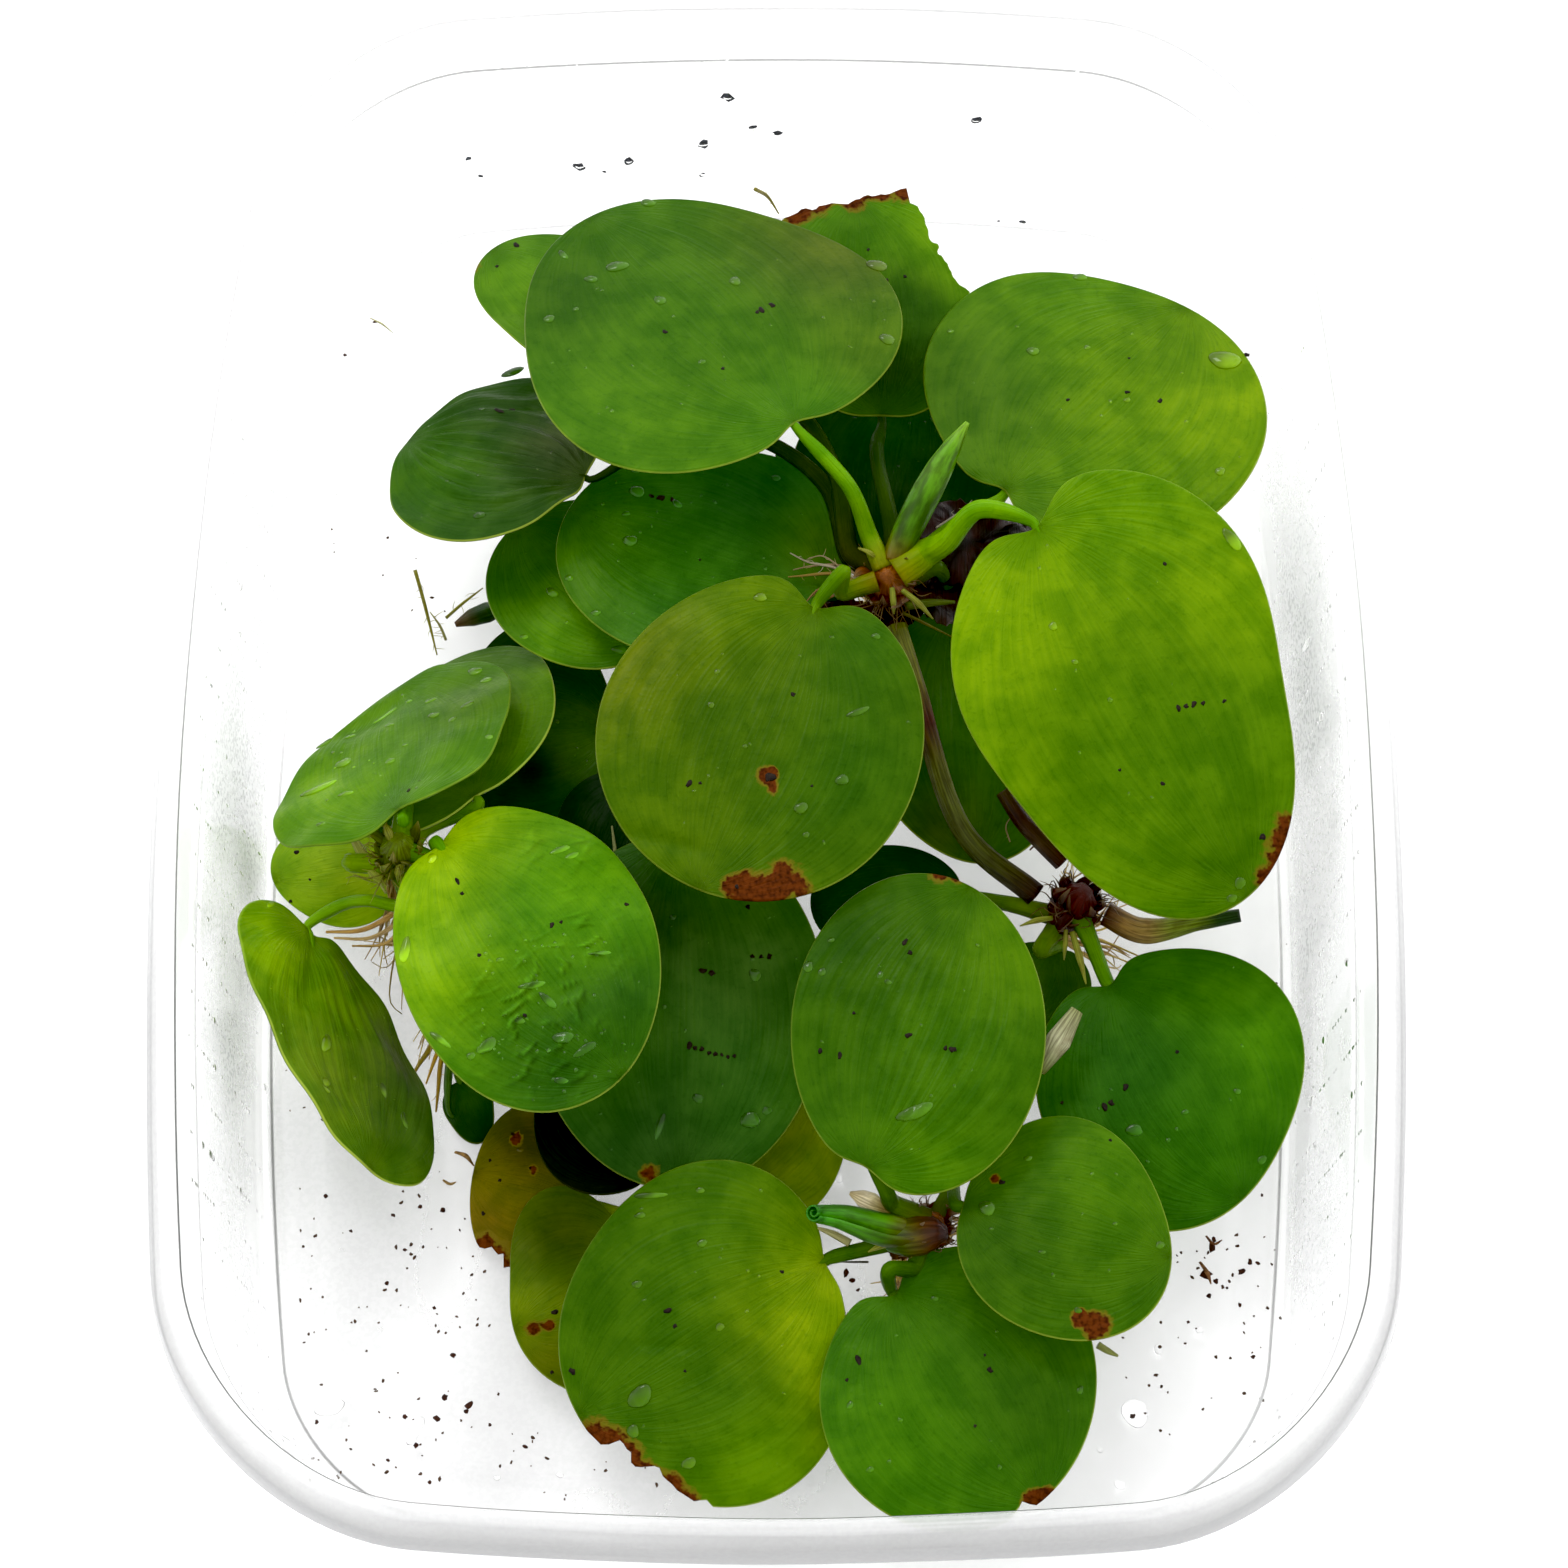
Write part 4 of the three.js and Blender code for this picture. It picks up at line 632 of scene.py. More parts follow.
# Dark specks on the leaves, as [place in px, half width in mm, length share]
SPECKS = {
    "leaf_back_left": [
        [(762, 310), 0.4, 1.3], [(772, 305), 0.35, 1.4], [(757, 312), 0.3, 1.2], [(665, 332), 0.3, 1.6],
        [(723, 368), 0.25, 1]],
    "leaf_back_right": [
        [(1068, 400), 0.25, 1], [(1160, 401), 0.3, 1.3], [(1127, 392), 0.3, 1.3], [(1129, 358), 0.2, 1],
        [(1247, 355), 0.35, 1]],
    "leaf_right_large": [
        [(1178, 708), 0.3, 1.4], [(1186, 706), 0.3, 1], [(1194, 704), 0.35, 1.5], [(1203, 703), 0.3, 1],
        [(1224, 701), 0.2, 1.5], [(1163, 784), 0.3, 1], [(1165, 564), 0.25, 1], [(1262, 837), 0.4, 1],
        [(1120, 770), 0.2, 1]],
    "leaf_middle": [
        [(689, 783), 0.35, 1.4], [(793, 694), 0.3, 1], [(812, 786), 0.2, 1], [(770, 777), 0.7, 1],
        [(700, 783), 0.2, 1], [(737, 887), 0.3, 1]],
    "leaf_back_torn": [[(887, 281), 0.3, 1], [(905, 277), 0.25, 1], [(868, 250), 0.25, 1]],
    "leaf_teal": [
        [(652, 495), 0.3, 1.3], [(661, 497), 0.45, 1.3], [(672, 499), 0.35, 1.2], [(700, 560), 0.2, 1]],
    "leaf_back_brown_tip": [[(517, 245), 0.4, 1.3], [(497, 266), 0.25, 1]],
    "leaf_ridged": [[(500, 412), 0.35, 2], [(512, 410), 0.3, 1.5]],
    "leaf_left_bright": [
        [(457, 881), 0.25, 2], [(462, 893), 0.25, 1], [(552, 925), 0.3, 1.6], [(561, 922), 0.25, 1],
        [(479, 956), 0.25, 1], [(627, 904), 0.3, 1], [(525, 1015), 0.25, 1]],
    "leaf_left_wet": [[(411, 794), 0.3, 1.2], [(330, 742), 0.2, 1]],
    "leaf_left_pale": [[(297, 852), 0.35, 1], [(291, 902), 0.25, 1], [(310, 880), 0.2, 1]],
    "leaf_dark_large": [
        [(689, 1045), 0.4, 1.2], [(695, 1048), 0.3, 1], [(702, 1049), 0.35, 1], [(709, 1053), 0.3, 1],
        [(715, 1054), 0.3, 1], [(722, 1055), 0.25, 1], [(728, 1057), 0.25, 1], [(734, 1056), 0.25, 1],
        [(703, 971), 0.35, 1.5], [(712, 973), 0.35, 1.2], [(752, 957), 0.3, 1], [(761, 957), 0.3, 1],
        [(769, 957), 0.35, 1.2], [(748, 908), 0.3, 1], [(802, 1005), 0.3, 1], [(800, 1015), 0.25, 1]],
    "leaf_front_ribbed": [
        [(905, 943), 0.3, 1.5], [(910, 953), 0.3, 1], [(908, 1035), 0.35, 1.6], [(945, 1048), 0.3, 1.3],
        [(953, 1050), 0.35, 1.3], [(840, 1054), 0.35, 1.4], [(820, 1050), 0.3, 1.2], [(854, 1013), 0.2, 1]],
    "leaf_right_front": [
        [(1104, 1107), 0.4, 1.3], [(1111, 1103), 0.35, 1.2], [(1126, 1087), 0.4, 1.3],
        [(1062, 1103), 0.25, 1], [(1177, 1052), 0.25, 1]],
    "leaf_front_small": [[(1110, 1141), 0.2, 1], [(1002, 1182), 0.3, 1.4]],
    "leaf_front_right": [
        [(858, 1360), 0.4, 1.6], [(990, 1370), 0.3, 1.4], [(985, 1355), 0.2, 1], [(847, 1380), 0.25, 1],
        [(975, 1426), 0.2, 1]],
    "leaf_front_left": [
        [(668, 1310), 0.35, 1.4], [(675, 1326), 0.25, 1.2], [(782, 1272), 0.25, 1.2], [(685, 1371), 0.2, 1],
        [(572, 1371), 0.35, 1.3]],
    "leaf_brown": [
        [(513, 1134), 0.25, 1], [(500, 1180), 0.25, 1], [(483, 1213), 0.3, 1], [(530, 1168), 0.2, 1],
        [(490, 1160), 0.2, 1]],
    "leaf_olive_left": [[(555, 1312), 0.35, 1.2], [(552, 1372), 0.25, 1]],
}

# Crowns' colours of flesh, shaded parts and fibres, and the small pointed buds on them, as
# [start in px, end in px, heights of both, radius]
CROWN_COLOURS = {
    "back": ("804b13", "371304", "998351"), "left": ("6c8810", "484e0a", "b0b04c"),
    "front": ("724213", "431909", "998664"), "right": ("451309", "1c0403", "806a45"),
    "middle": ("37250c", "160c06", "685732"), "under": ("37250c", "160c06", "685732"),
}
CROWN_BUDS = {
    "back": [[(892, 588), (894, 614), (24.5, 23), 0.38], [(902, 590), (933, 619), (24.5, 22.8), 0.36],
             [(878, 560), (858, 548), (24.5, 25.5), 0.3]],
    "right": [[(1066, 930), (1064, 960), (15.5, 14.2), 0.3], [(1072, 932), (1086, 984), (15.5, 14), 0.42],
              [(1052, 918), (1020, 926), (15, 15), 0.35]],
    "left": [[(392, 842), (384, 822), (23, 24), 0.5], [(402, 860), (398, 882), (22, 20), 0.55]],
    "front": [[(905, 1236), (868, 1252), (13.5, 13), 0.5]],
}

# Soft flesh that spreads from a crown to the foot of its stalks: middle line, radii, flatness and colours
CROWN_FLESH = {
    "front": dict(path=[[17.6, -49.2, 12.8], [15.9, -49.3, 13.4], [14, -49.7, 13.5], [12.2, -49.7, 13.2],
                        [10.6, -49.2, 12.8]],
                  radii=[0.7, 1.8, 2.2, 2.1, 1.6, 0.5], flat=0.8,
                  colours=("2e0c08", "40180c", "4e300e", "4c480e", "40580c", "2f620a", "2c660a")),
}

# Colours of the shoots from root to tip
SHOOT_COLOURS = {
    "bud_sheath": ("5e4a0e", "3c6208", "40700a", "4a7a0a", "4e8208", "74a61c"),
    "rolled_leaf": ("5e2c0c", "5c5a12", "42760e", "3a7410", "3a8012", "2c7416"),
    "sheath_front": ("6e6a1c", "b0a868", "dcd4b0", "b8aa78"),
    "sheath_left": ("7c8c24", "a4b04c", "b4bc68"),
    "sheath_right": ("596520", "9ea17f", "7a8050"),
    "pale_bract": ("40230b", "715929", "806e38", "647420", "586b14", "1d3809", "162c06"),
    "runner_back_right": ("5c6414", "5a5c18", "3a0c06", "4c5214", "404812", "363a0e", "291006"),
    "old_stalk_right": ("35290b", "291006", "3b2c11", "280b05"),
    "small_bud": ("284109", "1a3806", "4d3411"),
}

# Single loose roots, as [points in px with their heights], radius, colour and number of side hairs
HAIR_RADII = [0.045, 0.04, 0.015]
LOOSE_ROOTS = [
    [[(415, 570, 6.5), (424, 602, 5), (431, 630, 3), (437, 655, 2.4)], 0.24, "949430", 12],
    [[(446, 618, 2.6), (462, 604, 3.4), (483, 588, 5)], 0.2, "8a8d22", 4],
    [[(446, 640, 2.4), (440, 626, 2.6), (430, 612, 3)], 0.18, "9e9e58", 8],
    [[(755, 189, 12.5), (768, 197, 10), (779, 214, 8)], 0.24, "979133", 3],
    [[(862, 584, 22.5), (835, 574, 21.6), (800, 576, 21.4), (788, 577, 21.4)], 0.22, "97803d", 5],
    [[(862, 582, 22.5), (836, 568, 21.8), (808, 562, 21.6), (790, 553, 21.9)], 0.18, "b9b297", 8],
    [[(864, 584, 22.5), (840, 582, 21.5), (818, 590, 21.3), (806, 602, 21.3)], 0.2, "917144", 4],
    [[(862, 580, 22.5), (842, 566, 21.8), (812, 566, 21.4), (793, 570, 21.4)], 0.16, "a59169", 6],
    [[(866, 588, 22.3), (842, 592, 21.4), (822, 602, 21.3), (812, 610, 21.3)], 0.18, "8a6541", 3],
    [[(850, 576, 22), (822, 556, 21.8), (806, 560, 21.5)], 0.12, "b2a57d", 5],
    [[(936, 528, 23.5), (965, 508, 23), (972, 500, 23.2)], 0.12, "b2af97", 3],
    [[(425, 880, 17), (395, 912, 12), (362, 930, 9), (326, 932, 8)], 0.42, "c8a050", 0],
    [[(425, 884, 17), (400, 920, 11), (370, 938, 8), (334, 938, 7)], 0.34, "d0b474", 0],
    [[(427, 886, 17), (404, 924, 10), (384, 944, 7), (352, 946, 6)], 0.3, "c8a85c", 0],
    [[(386, 893, 18.6), (374, 874, 18.6), (366, 862, 18.6), (366, 846, 18.4)], 0.16, "b8c070", 6],
    [[(380, 884, 18.6), (366, 880, 18.2), (356, 876, 17.4), (346, 878, 16.4)], 0.1, "9cac40", 8],
    [[(376, 876, 18.6), (362, 870, 18.2), (350, 866, 17)], 0.1, "a0b048", 8],
    [[(370, 866, 18.8), (358, 862, 18.2), (346, 862, 17)], 0.09, "a0b048", 8],
    [[(414, 868, 16), (402, 930, 9), (392, 970, 6), (391, 1004, 4), (402, 1014, 3.4)], 0.16, "978a41", 0],
    [[(416, 868, 16), (404, 940, 8), (385, 968, 4), (372, 962, 3)], 0.14, "b2a57d", 0],
    [[(418, 868, 16), (412, 960, 6), (420, 1010, 3), (438, 1046, 2.4)], 0.16, "a59747", 2],
    [[(440, 1020, 3.4), (430, 1048, 2.7), (418, 1066, 2.5), (412, 1078, 2.4)], 0.36, "8a7a1c", 2],
    [[(446, 1030, 3), (436, 1056, 2.6), (426, 1084, 2.4)], 0.26, "c09c30", 3],
    [[(448, 1036, 3), (441, 1062, 2.6), (438, 1092, 2.4), (436, 1112, 2.4)], 0.3, "9a8020", 3],
    [[(452, 1050, 4.2), (448, 1080, 4), (449, 1112, 3.4), (455, 1119, 2.8)], 0.5, "38600c", 0],
    [[(430, 900, 14), (436, 940, 9), (446, 990, 5), (452, 1030, 3.2)], 0.3, "b09034", 2],
    [[(424, 900, 14), (424, 950, 8), (428, 1000, 4), (440, 1040, 2.8)], 0.24, "a88430", 2],
    [[(438, 900, 14), (452, 950, 8), (460, 1002, 5), (440, 1006, 3)], 0.22, "c0a054", 1],
    [[(906, 606, 20), (930, 603, 19.4), (955, 602, 19)], 0.55, "55680f", 0],
    [[(903, 613, 20), (926, 624, 19.4), (952, 637, 19)], 0.2, "66641c", 0],
    [[(850, 1243, 12.6), (833, 1234, 12.6), (818, 1228, 12.4)], 0.5, "a0a068", 0],
    [[(1098, 1345, 3), (1108, 1351, 2.7), (1118, 1356, 2.5)], 0.45, "8a944b", 0],
    [[(868, 1262, 11), (848, 1262, 9), (836, 1262, 7)], 0.12, "3d3c0e", 0],
    [[(1010, 842, 17), (1006, 826, 17.5), (1012, 815, 18)], 0.1, "8a7955", 2],
    [[(1030, 850, 16), (1040, 838, 17), (1036, 826, 17.5)], 0.1, "71583d", 2],
    [[(624, 884, 10), (616, 856, 9.5), (612, 826, 9.5)], 0.28, "8a915b", 0],
]


# Curves and places

def leaning(lean):
    """The rotation of a thing that leans by an angle towards a plan direction."""
    angle, towards = np.radians(lean)
    axis = np.array([-math.sin(towards), math.cos(towards), 0])
    cross = np.array([[0, -axis[2], axis[1]], [axis[2], 0, -axis[0]], [-axis[1], axis[0], 0]])
    return np.eye(3) + math.sin(angle) * cross + (1 - math.cos(angle)) * cross @ cross


def turned(degrees):
    """The rotation about +Z."""
    c, s = math.cos(math.radians(degrees)), math.sin(math.radians(degrees))
    return np.array([[c, -s, 0], [s, c, 0], [0, 0, 1]])


def heading(angle):
    """The level direction at an angle from +X, in radians."""
    return np.array([math.cos(angle), math.sin(angle), 0])


def circle(count):
    """Angles at even distances round a circle."""
    return np.linspace(0, 2 * math.pi, count, endpoint=False)


def spread(stops, share):
    """Numbers or colours that are spread evenly along a line, at shares of its length."""
    stops = np.asarray(stops, float)
    places = np.linspace(0, 1, len(stops))
    if stops.ndim == 1:
        return np.interp(share, places, stops)
    return np.stack([np.interp(share, places, channel) for channel in stops.T], 1)


def smooth_line(points, count):
    """Centripetal Catmull-Rom line through points, resampled at even distances."""
    p = np.array(points, float)
    p = np.vstack([2 * p[0] - p[1], p, 2 * p[-1] - p[-2]])
    line = []
    for i in range(1, len(p) - 2):
        a, b, c, d = p[i - 1:i + 3]
        steps = [max(np.linalg.norm(v) ** 0.5, 1e-4) for v in (b - a, c - b, d - c)]
        start = ((b - a) / steps[0] - (c - a) / (steps[0] + steps[1]) + (c - b) / steps[1]) * steps[1]
        end = ((c - b) / steps[1] - (d - b) / (steps[1] + steps[2]) + (d - c) / steps[2]) * steps[1]
        t = np.linspace(0, 1, 24, endpoint=False)[:, None]
        line.append(b + start * t + (3 * (c - b) - 2 * start - end) * t ** 2
                    + (2 * (b - c) + start + end) * t ** 3)
    line = np.vstack(line + [p[-2:-1]])
    travel = np.concatenate([[0], np.cumsum(np.linalg.norm(np.diff(line, axis=0), axis=1))])
    even = np.linspace(0, travel[-1], count)
    return np.stack([np.interp(even, travel, line[:, k]) for k in range(3)], 1)


def line_frames(line):
    """Two directions across a line at each of its points, carried along without twist."""
    along = np.gradient(line, axis=0)
    along /= np.linalg.norm(along, axis=1, keepdims=True)
    first = np.cross(along[0], [0.3, 0.2, 1])
    sides = []
    for direction in along:
        first = first - direction * (first @ direction)
        first = first / np.linalg.norm(first)
        sides.append(first)
    sides = np.array(sides)
    return sides, np.cross(along, sides)


def hills(seed, x, y, size, octaves=5):
    """Smooth random heights between about -1 and 1, with features of the given size."""
    rng = np.random.default_rng(seed)
    total = np.zeros(np.broadcast(x, y).shape)
    for _ in range(octaves):
        turn, phase = rng.uniform(0, 2 * math.pi, 2)
        wave = 2 * math.pi / (size * rng.uniform(1.1, 2.2))
        total += np.sin((x * math.cos(turn) + y * math.sin(turn)) * wave + phase)
    return total / octaves ** 0.5 / 1.2


def rgb(code):
    """A colour written as two hexadecimal digits each for red, green and blue, as linear light."""
    shares = np.array([int(code[i:i + 2], 16) / 255 for i in (0, 2, 4)])
    return np.where(shares < 0.04045, shares / 12.92, ((shares + 0.055) / 1.055) ** 2.4)


# Rays from the camera through the photograph

def camera_axes():
    c, s = math.cos(CAMERA_TILT), math.sin(CAMERA_TILT)
    return np.array([1, 0, 0]), np.array([0, c, s]), np.array([0, s, -c])


def ray(px):
    """Direction from the camera through a pixel of the photograph."""
    right, up, forward = camera_axes()
    focal = LENS / SENSOR * PHOTO
    across = (px[0] - SHARP_CENTRE_PX[0]) / focal
    down = (px[1] - SHARP_CENTRE_PX[1]) / focal
    return forward + right * across - up * down


def on_plane(px, point, normal):
    """Where the ray through a pixel meets a plane."""
    direction = ray(px)
    return CAMERA_AT + direction * ((np.array(point) - CAMERA_AT) @ normal) / (direction @ normal)


def at_level(px, z):
    """Where the ray through a pixel comes down to a height."""
    return on_plane(px, UP * z, UP)


# Meshes

class Clay:
    """Points, faces and per-point values that become one mesh."""

    def __init__(self):
        self.points = []
        self.faces = []
        self.tint = []
        self.veins = []
        self.marks = []
        self.count = 0

    def add(self, points, faces, tint=(0.5, 0.5, 0.5), veins=(0, 0, 0), marks=(0, 9, 0)):
        points = np.asarray(points, float)
        size = len(points)
        self.points.append(points)
        self.faces += [tuple(i + self.count for i in face) for face in faces]
        for store, value in ((self.tint, tint), (self.veins, veins), (self.marks, marks)):
            store.append(np.broadcast_to(np.asarray(value, float), (size, 3)))
        self.count += size

    def piece(self, name, material, nodes=()):
        mesh = bpy.data.meshes.new(name)
        mesh.from_pydata((np.vstack(self.points) * MM).tolist(), [], self.faces)
        mesh.update()
        mesh.shade_smooth()
        tint = np.hstack([np.vstack(self.tint), np.ones((self.count, 1))])
        mesh.attributes.new("tint", "FLOAT_COLOR", "POINT").data.foreach_set("color", tint.ravel())
        for key, store in (("veins", self.veins), ("marks", self.marks)):
            values = mesh.attributes.new(key, "FLOAT_VECTOR", "POINT").data
            values.foreach_set("vector", np.vstack(store).ravel())
        mesh.materials.append(material)
        obj = bpy.data.objects.new(name, mesh)
        bpy.context.collection.objects.link(obj)
        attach(obj, "root")
        if nodes:
            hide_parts(*nodes)
        return obj


def closed(rings):
    """The points of rings in order, with a hub in the middle of the first ring and of the last."""
    return np.vstack(rings + [rings[0].mean(0), rings[-1].mean(0)])


def ring_faces(rings, count):
    """Faces of rings of points in order, closed on a hub at each end. The hubs are the last two points."""
    faces = []
    for i in range(rings - 1):
        for j in range(count):
            a, b = i * count + j, i * count + (j + 1) % count
            faces.append((a, b, b + count, a + count))
    hub = rings * count
    last = hub - count
    faces += [((j + 1) % count, j, hub) for j in range(count)]
    faces += [(last + j, last + (j + 1) % count, hub + 1) for j in range(count)]
    return faces


def strand(clay, points, radii, sides, steps, tints, seed=0.0, squash=(1,), ridges=0.0, fibre=1.0):
    """A tapering thing along a smooth line. radii, tints and squash, its flatness, are spread along it."""
    line = smooth_line(points, steps)
    share = np.linspace(0, 1, steps)
    radius, flat = spread(radii, share), spread(squash, share)
    side, other = line_frames(line)
    turn = circle(sides)
    wide = radius[:, None] * (1 + ridges * np.cos(turn * 5 + seed))[None, :]
    rings = (line[:, None, :] + side[:, None, :] * (wide * np.cos(turn))[:, :, None]
             + other[:, None, :] * (wide * np.sin(turn) * flat[:, None])[:, :, None])
    colours = spread(np.atleast_2d(tints), share)
    colours = np.vstack([np.repeat(colours, sides, 0), colours[0], colours[-1]])
    length = np.linalg.norm(np.diff(line, axis=0), axis=1).sum()
    veins = np.zeros((steps, sides, 3))
    veins[:, :, 0] = np.abs(turn / math.pi - 1)[None, :] * fibre
    veins[:, :, 1] = (share * length * 0.12)[:, None]
    veins[:, :, 2] = seed
    veins = np.vstack([veins.reshape(-1, 3), veins[0, 0], veins[-1, 0]])
    clay.add(np.vstack([rings.reshape(-1, 3), line[0], line[-1]]), ring_faces(steps, sides), colours, veins)


# Materials

class Nodes:
    """Shader nodes with short ways to add and join them."""

    def __init__(self, tree):
        self.tree = tree

    def node(self, kind, **settings):
        made = self.tree.nodes.new(kind)
        for key, value in settings.items():
            setattr(made, key, value)
        return made

    def feed(self, socket, value):
        """Joins a socket to another, or gives it a number or a colour."""
        if isinstance(value, bpy.types.NodeSocket):
            self.tree.links.new(value, socket)
        else:
            socket.default_value = (*value, 1) if isinstance(value, tuple) else value

    def maths(self, operation, *values):
        made = self.node("ShaderNodeMath", operation=operation)
        for socket, value in zip(made.inputs, values):
            self.feed(socket, value)
        return made.outputs[0]

    def product(self, first, second):
        return self.maths("MULTIPLY", first, second)

    def total(self, first, second):
        return self.maths("ADD", first, second)

    def smooth(self, value, low, high, to_low=0.0, to_high=1.0):
        """Goes softly from to_low, where the value is low, to to_high, where it is high."""
        made = self.node("ShaderNodeMapRange", interpolation_type="SMOOTHSTEP")
        for socket, number in zip(made.inputs, (value, low, high, to_low, to_high)):
            self.feed(socket, number)
        return made.outputs[0]

    def split(self, vector):
        made = self.node("ShaderNodeSeparateXYZ")
        self.feed(made.inputs[0], vector)
        return made.outputs


class Paint(Nodes):
    """A node material."""

    def __init__(self, name):
        self.material = bpy.data.materials.new(name)
        self.material.use_nodes = True
        super().__init__(self.material.node_tree)
        self.shader = self.tree.nodes["Principled BSDF"]

    def finish(self, **values):
        """Feeds the shader's inputs, whose spaces are written as underscores, and gives the material."""
        for key, value in values.items():
            self.feed(self.shader.inputs[key.replace("_", " ")], value)
        return self.material

    def mix(self, share, first, second, kind="MIX"):
        made = self.node("ShaderNodeMix", data_type="RGBA", blend_type=kind)
        for number, value in ((0, share), (6, first), (7, second)):
            self.feed(made.inputs[number], value)
        return made.outputs[2]

    def filtered(self, colour, factors):
        """A colour whose red, green and blue are multiplied."""
        return self.mix(1.0, colour, factors, "MULTIPLY")

    def shaded(self, share, colour, factors):
        """A colour that is filtered by a share."""
        return self.mix(share, colour, self.filtered(colour, factors))

    def noise(self, vector, scale, detail):
        made = self.node("ShaderNodeTexNoise")
        for key, value in (("Vector", vector), ("Scale", scale), ("Detail", detail), ("Roughness", 0.55)):
            self.feed(made.inputs[key], value)
        return made.outputs[0]

    def streaks(self, vector, stretch, detail):
        """Noise along the veins."""
        made = self.node("ShaderNodeVectorMath", operation="MULTIPLY")
        self.feed(made.inputs[0], vector)
        made.inputs[1].default_value = stretch
        return self.noise(made.outputs[0], 1.0, detail)

    def bump(self, height, distance):
        made = self.node("ShaderNodeBump")
        for key, value in (("Strength", 1.0), ("Distance", distance), ("Height", height)):
            self.feed(made.inputs[key], value)
        self.feed(self.shader.inputs["Normal"], made.outputs[0])

    def place(self):
        return self.node("ShaderNodeTexCoord").outputs["Object"]

    def stored(self, name, kind="Vector"):
        """Values that a mesh holds for each point."""
        return self.node("ShaderNodeAttribute", attribute_name=name).outputs[kind]

    def tint(self):
        return self.stored("tint", "Color")


def leaf_skin():
    """Waxy wet leaf: fine arcs from stalk to tip, short cross veins, a painted highlight line along the edge
    and browned spots.
    """
    paint = Paint("leaf_skin")
    tint = paint.tint()
    veins = paint.stored("veins")
    across, along, _ = paint.split(veins)
    hurt, edge, painted_highlight_share = paint.split(paint.stored("marks"))
    place = paint.place()
    mottle = paint.noise(place, 240.0, 2.0)
    fine = paint.noise(place, 1900.0, 1.0)
    streaks = paint.streaks(veins, (34.0, 1.3, 5.0), 1.0)
    arcs = paint.maths("MULTIPLY_ADD", across, 16.0, paint.product(mottle, 1.1))
    rungs = paint.maths("MULTIPLY_ADD", along, 15.0, paint.product(streaks, 4.0))
    net = paint.maths("MAXIMUM", paint.smooth(paint.maths("PINGPONG", arcs, 0.5), 0.0, 0.09, 1.0, 0.0),
                      paint.smooth(paint.maths("PINGPONG", rungs, 0.5), 0.0, 0.11, 0.7, 0.0))
    colour = paint.mix(paint.smooth(mottle, 0.32, 0.68), paint.filtered(tint, (1.18, 1.12, 1.1)),
                       paint.filtered(tint, (0.74, 0.84, 0.8)))
    colour = paint.shaded(paint.smooth(streaks, 0.3, 0.72, 0.0, 0.55), colour, (0.7, 0.82, 0.75))
    net_share = paint.product(net, paint.smooth(mottle, 0.3, 0.6, 0.08, 0.34))
    colour = paint.shaded(net_share, colour, (0.58, 0.72, 0.6))
    colour = paint.shaded(paint.smooth(fine, 0.56, 0.78, 0.0, 0.4), colour, (0.55, 0.68, 0.6))
    # painted highlight: a pale line along the edge, strongest on the side away from the light
    painted_edge_highlight = paint.product(paint.smooth(edge, 0.02, 0.2, 0.8, 0.0), painted_highlight_share)
    colour = paint.mix(painted_edge_highlight, colour, (0.42, 0.52, 0.07))
    ragged = hurt
    for noise, strength in ((mottle, 1.7), (fine, 0.5)):
        ragged = paint.total(ragged, paint.product(paint.maths("SUBTRACT", noise, 0.5), strength))
    ragged = paint.product(ragged, paint.smooth(hurt, 0.0, 0.25))
    colour = paint.mix(paint.smooth(ragged, 0.18, 0.5, 0.0, 0.85), colour, (0.13, 0.1, 0.008))
    rust = paint.mix(paint.smooth(fine, 0.3, 0.8), (0.095, 0.024, 0.005), (0.03, 0.008, 0.003))
    brown = paint.smooth(ragged, 0.46, 0.66)
    rough = paint.total(paint.smooth(mottle, 0.3, 0.7, 0.3, 0.46), paint.product(brown, 0.3))
    paint.bump(paint.total(paint.product(streaks, 0.9), paint.product(fine, 0.35)), 0.00013)
    return paint.finish(Base_Color=paint.mix(brown, colour, rust), Roughness=rough, Specular_IOR_Level=0.05)


def stem_skin():
    """Fibrous wet stems, sheaths and roots: long streaks of darker and lighter fibre."""
    paint = Paint("stem_skin")
    tint = paint.tint()
    mottle = paint.noise(paint.place(), 420.0, 4.0)
    streaks = paint.streaks(paint.stored("veins"), (16.0, 2.0, 5.0), 4.0)
    colour = paint.mix(paint.smooth(streaks, 0.35, 0.65), paint.filtered(tint, (0.5, 0.45, 0.4)),
                       paint.filtered(tint, (1.25, 1.2, 1.2)))
    colour = paint.mix(paint.smooth(mottle, 0.5, 0.72, 0.0, 0.6), colour,
                       paint.filtered(tint, (0.45, 0.32, 0.25)))
    paint.bump(paint.total(streaks, paint.product(mottle, 0.5)), 0.00015)
    return paint.finish(Base_Color=colour, Roughness=paint.smooth(mottle, 0.3, 0.7, 0.3, 0.55),
                        Specular_IOR_Level=0.22, Coat_Weight=0.06, Coat_Roughness=0.15)


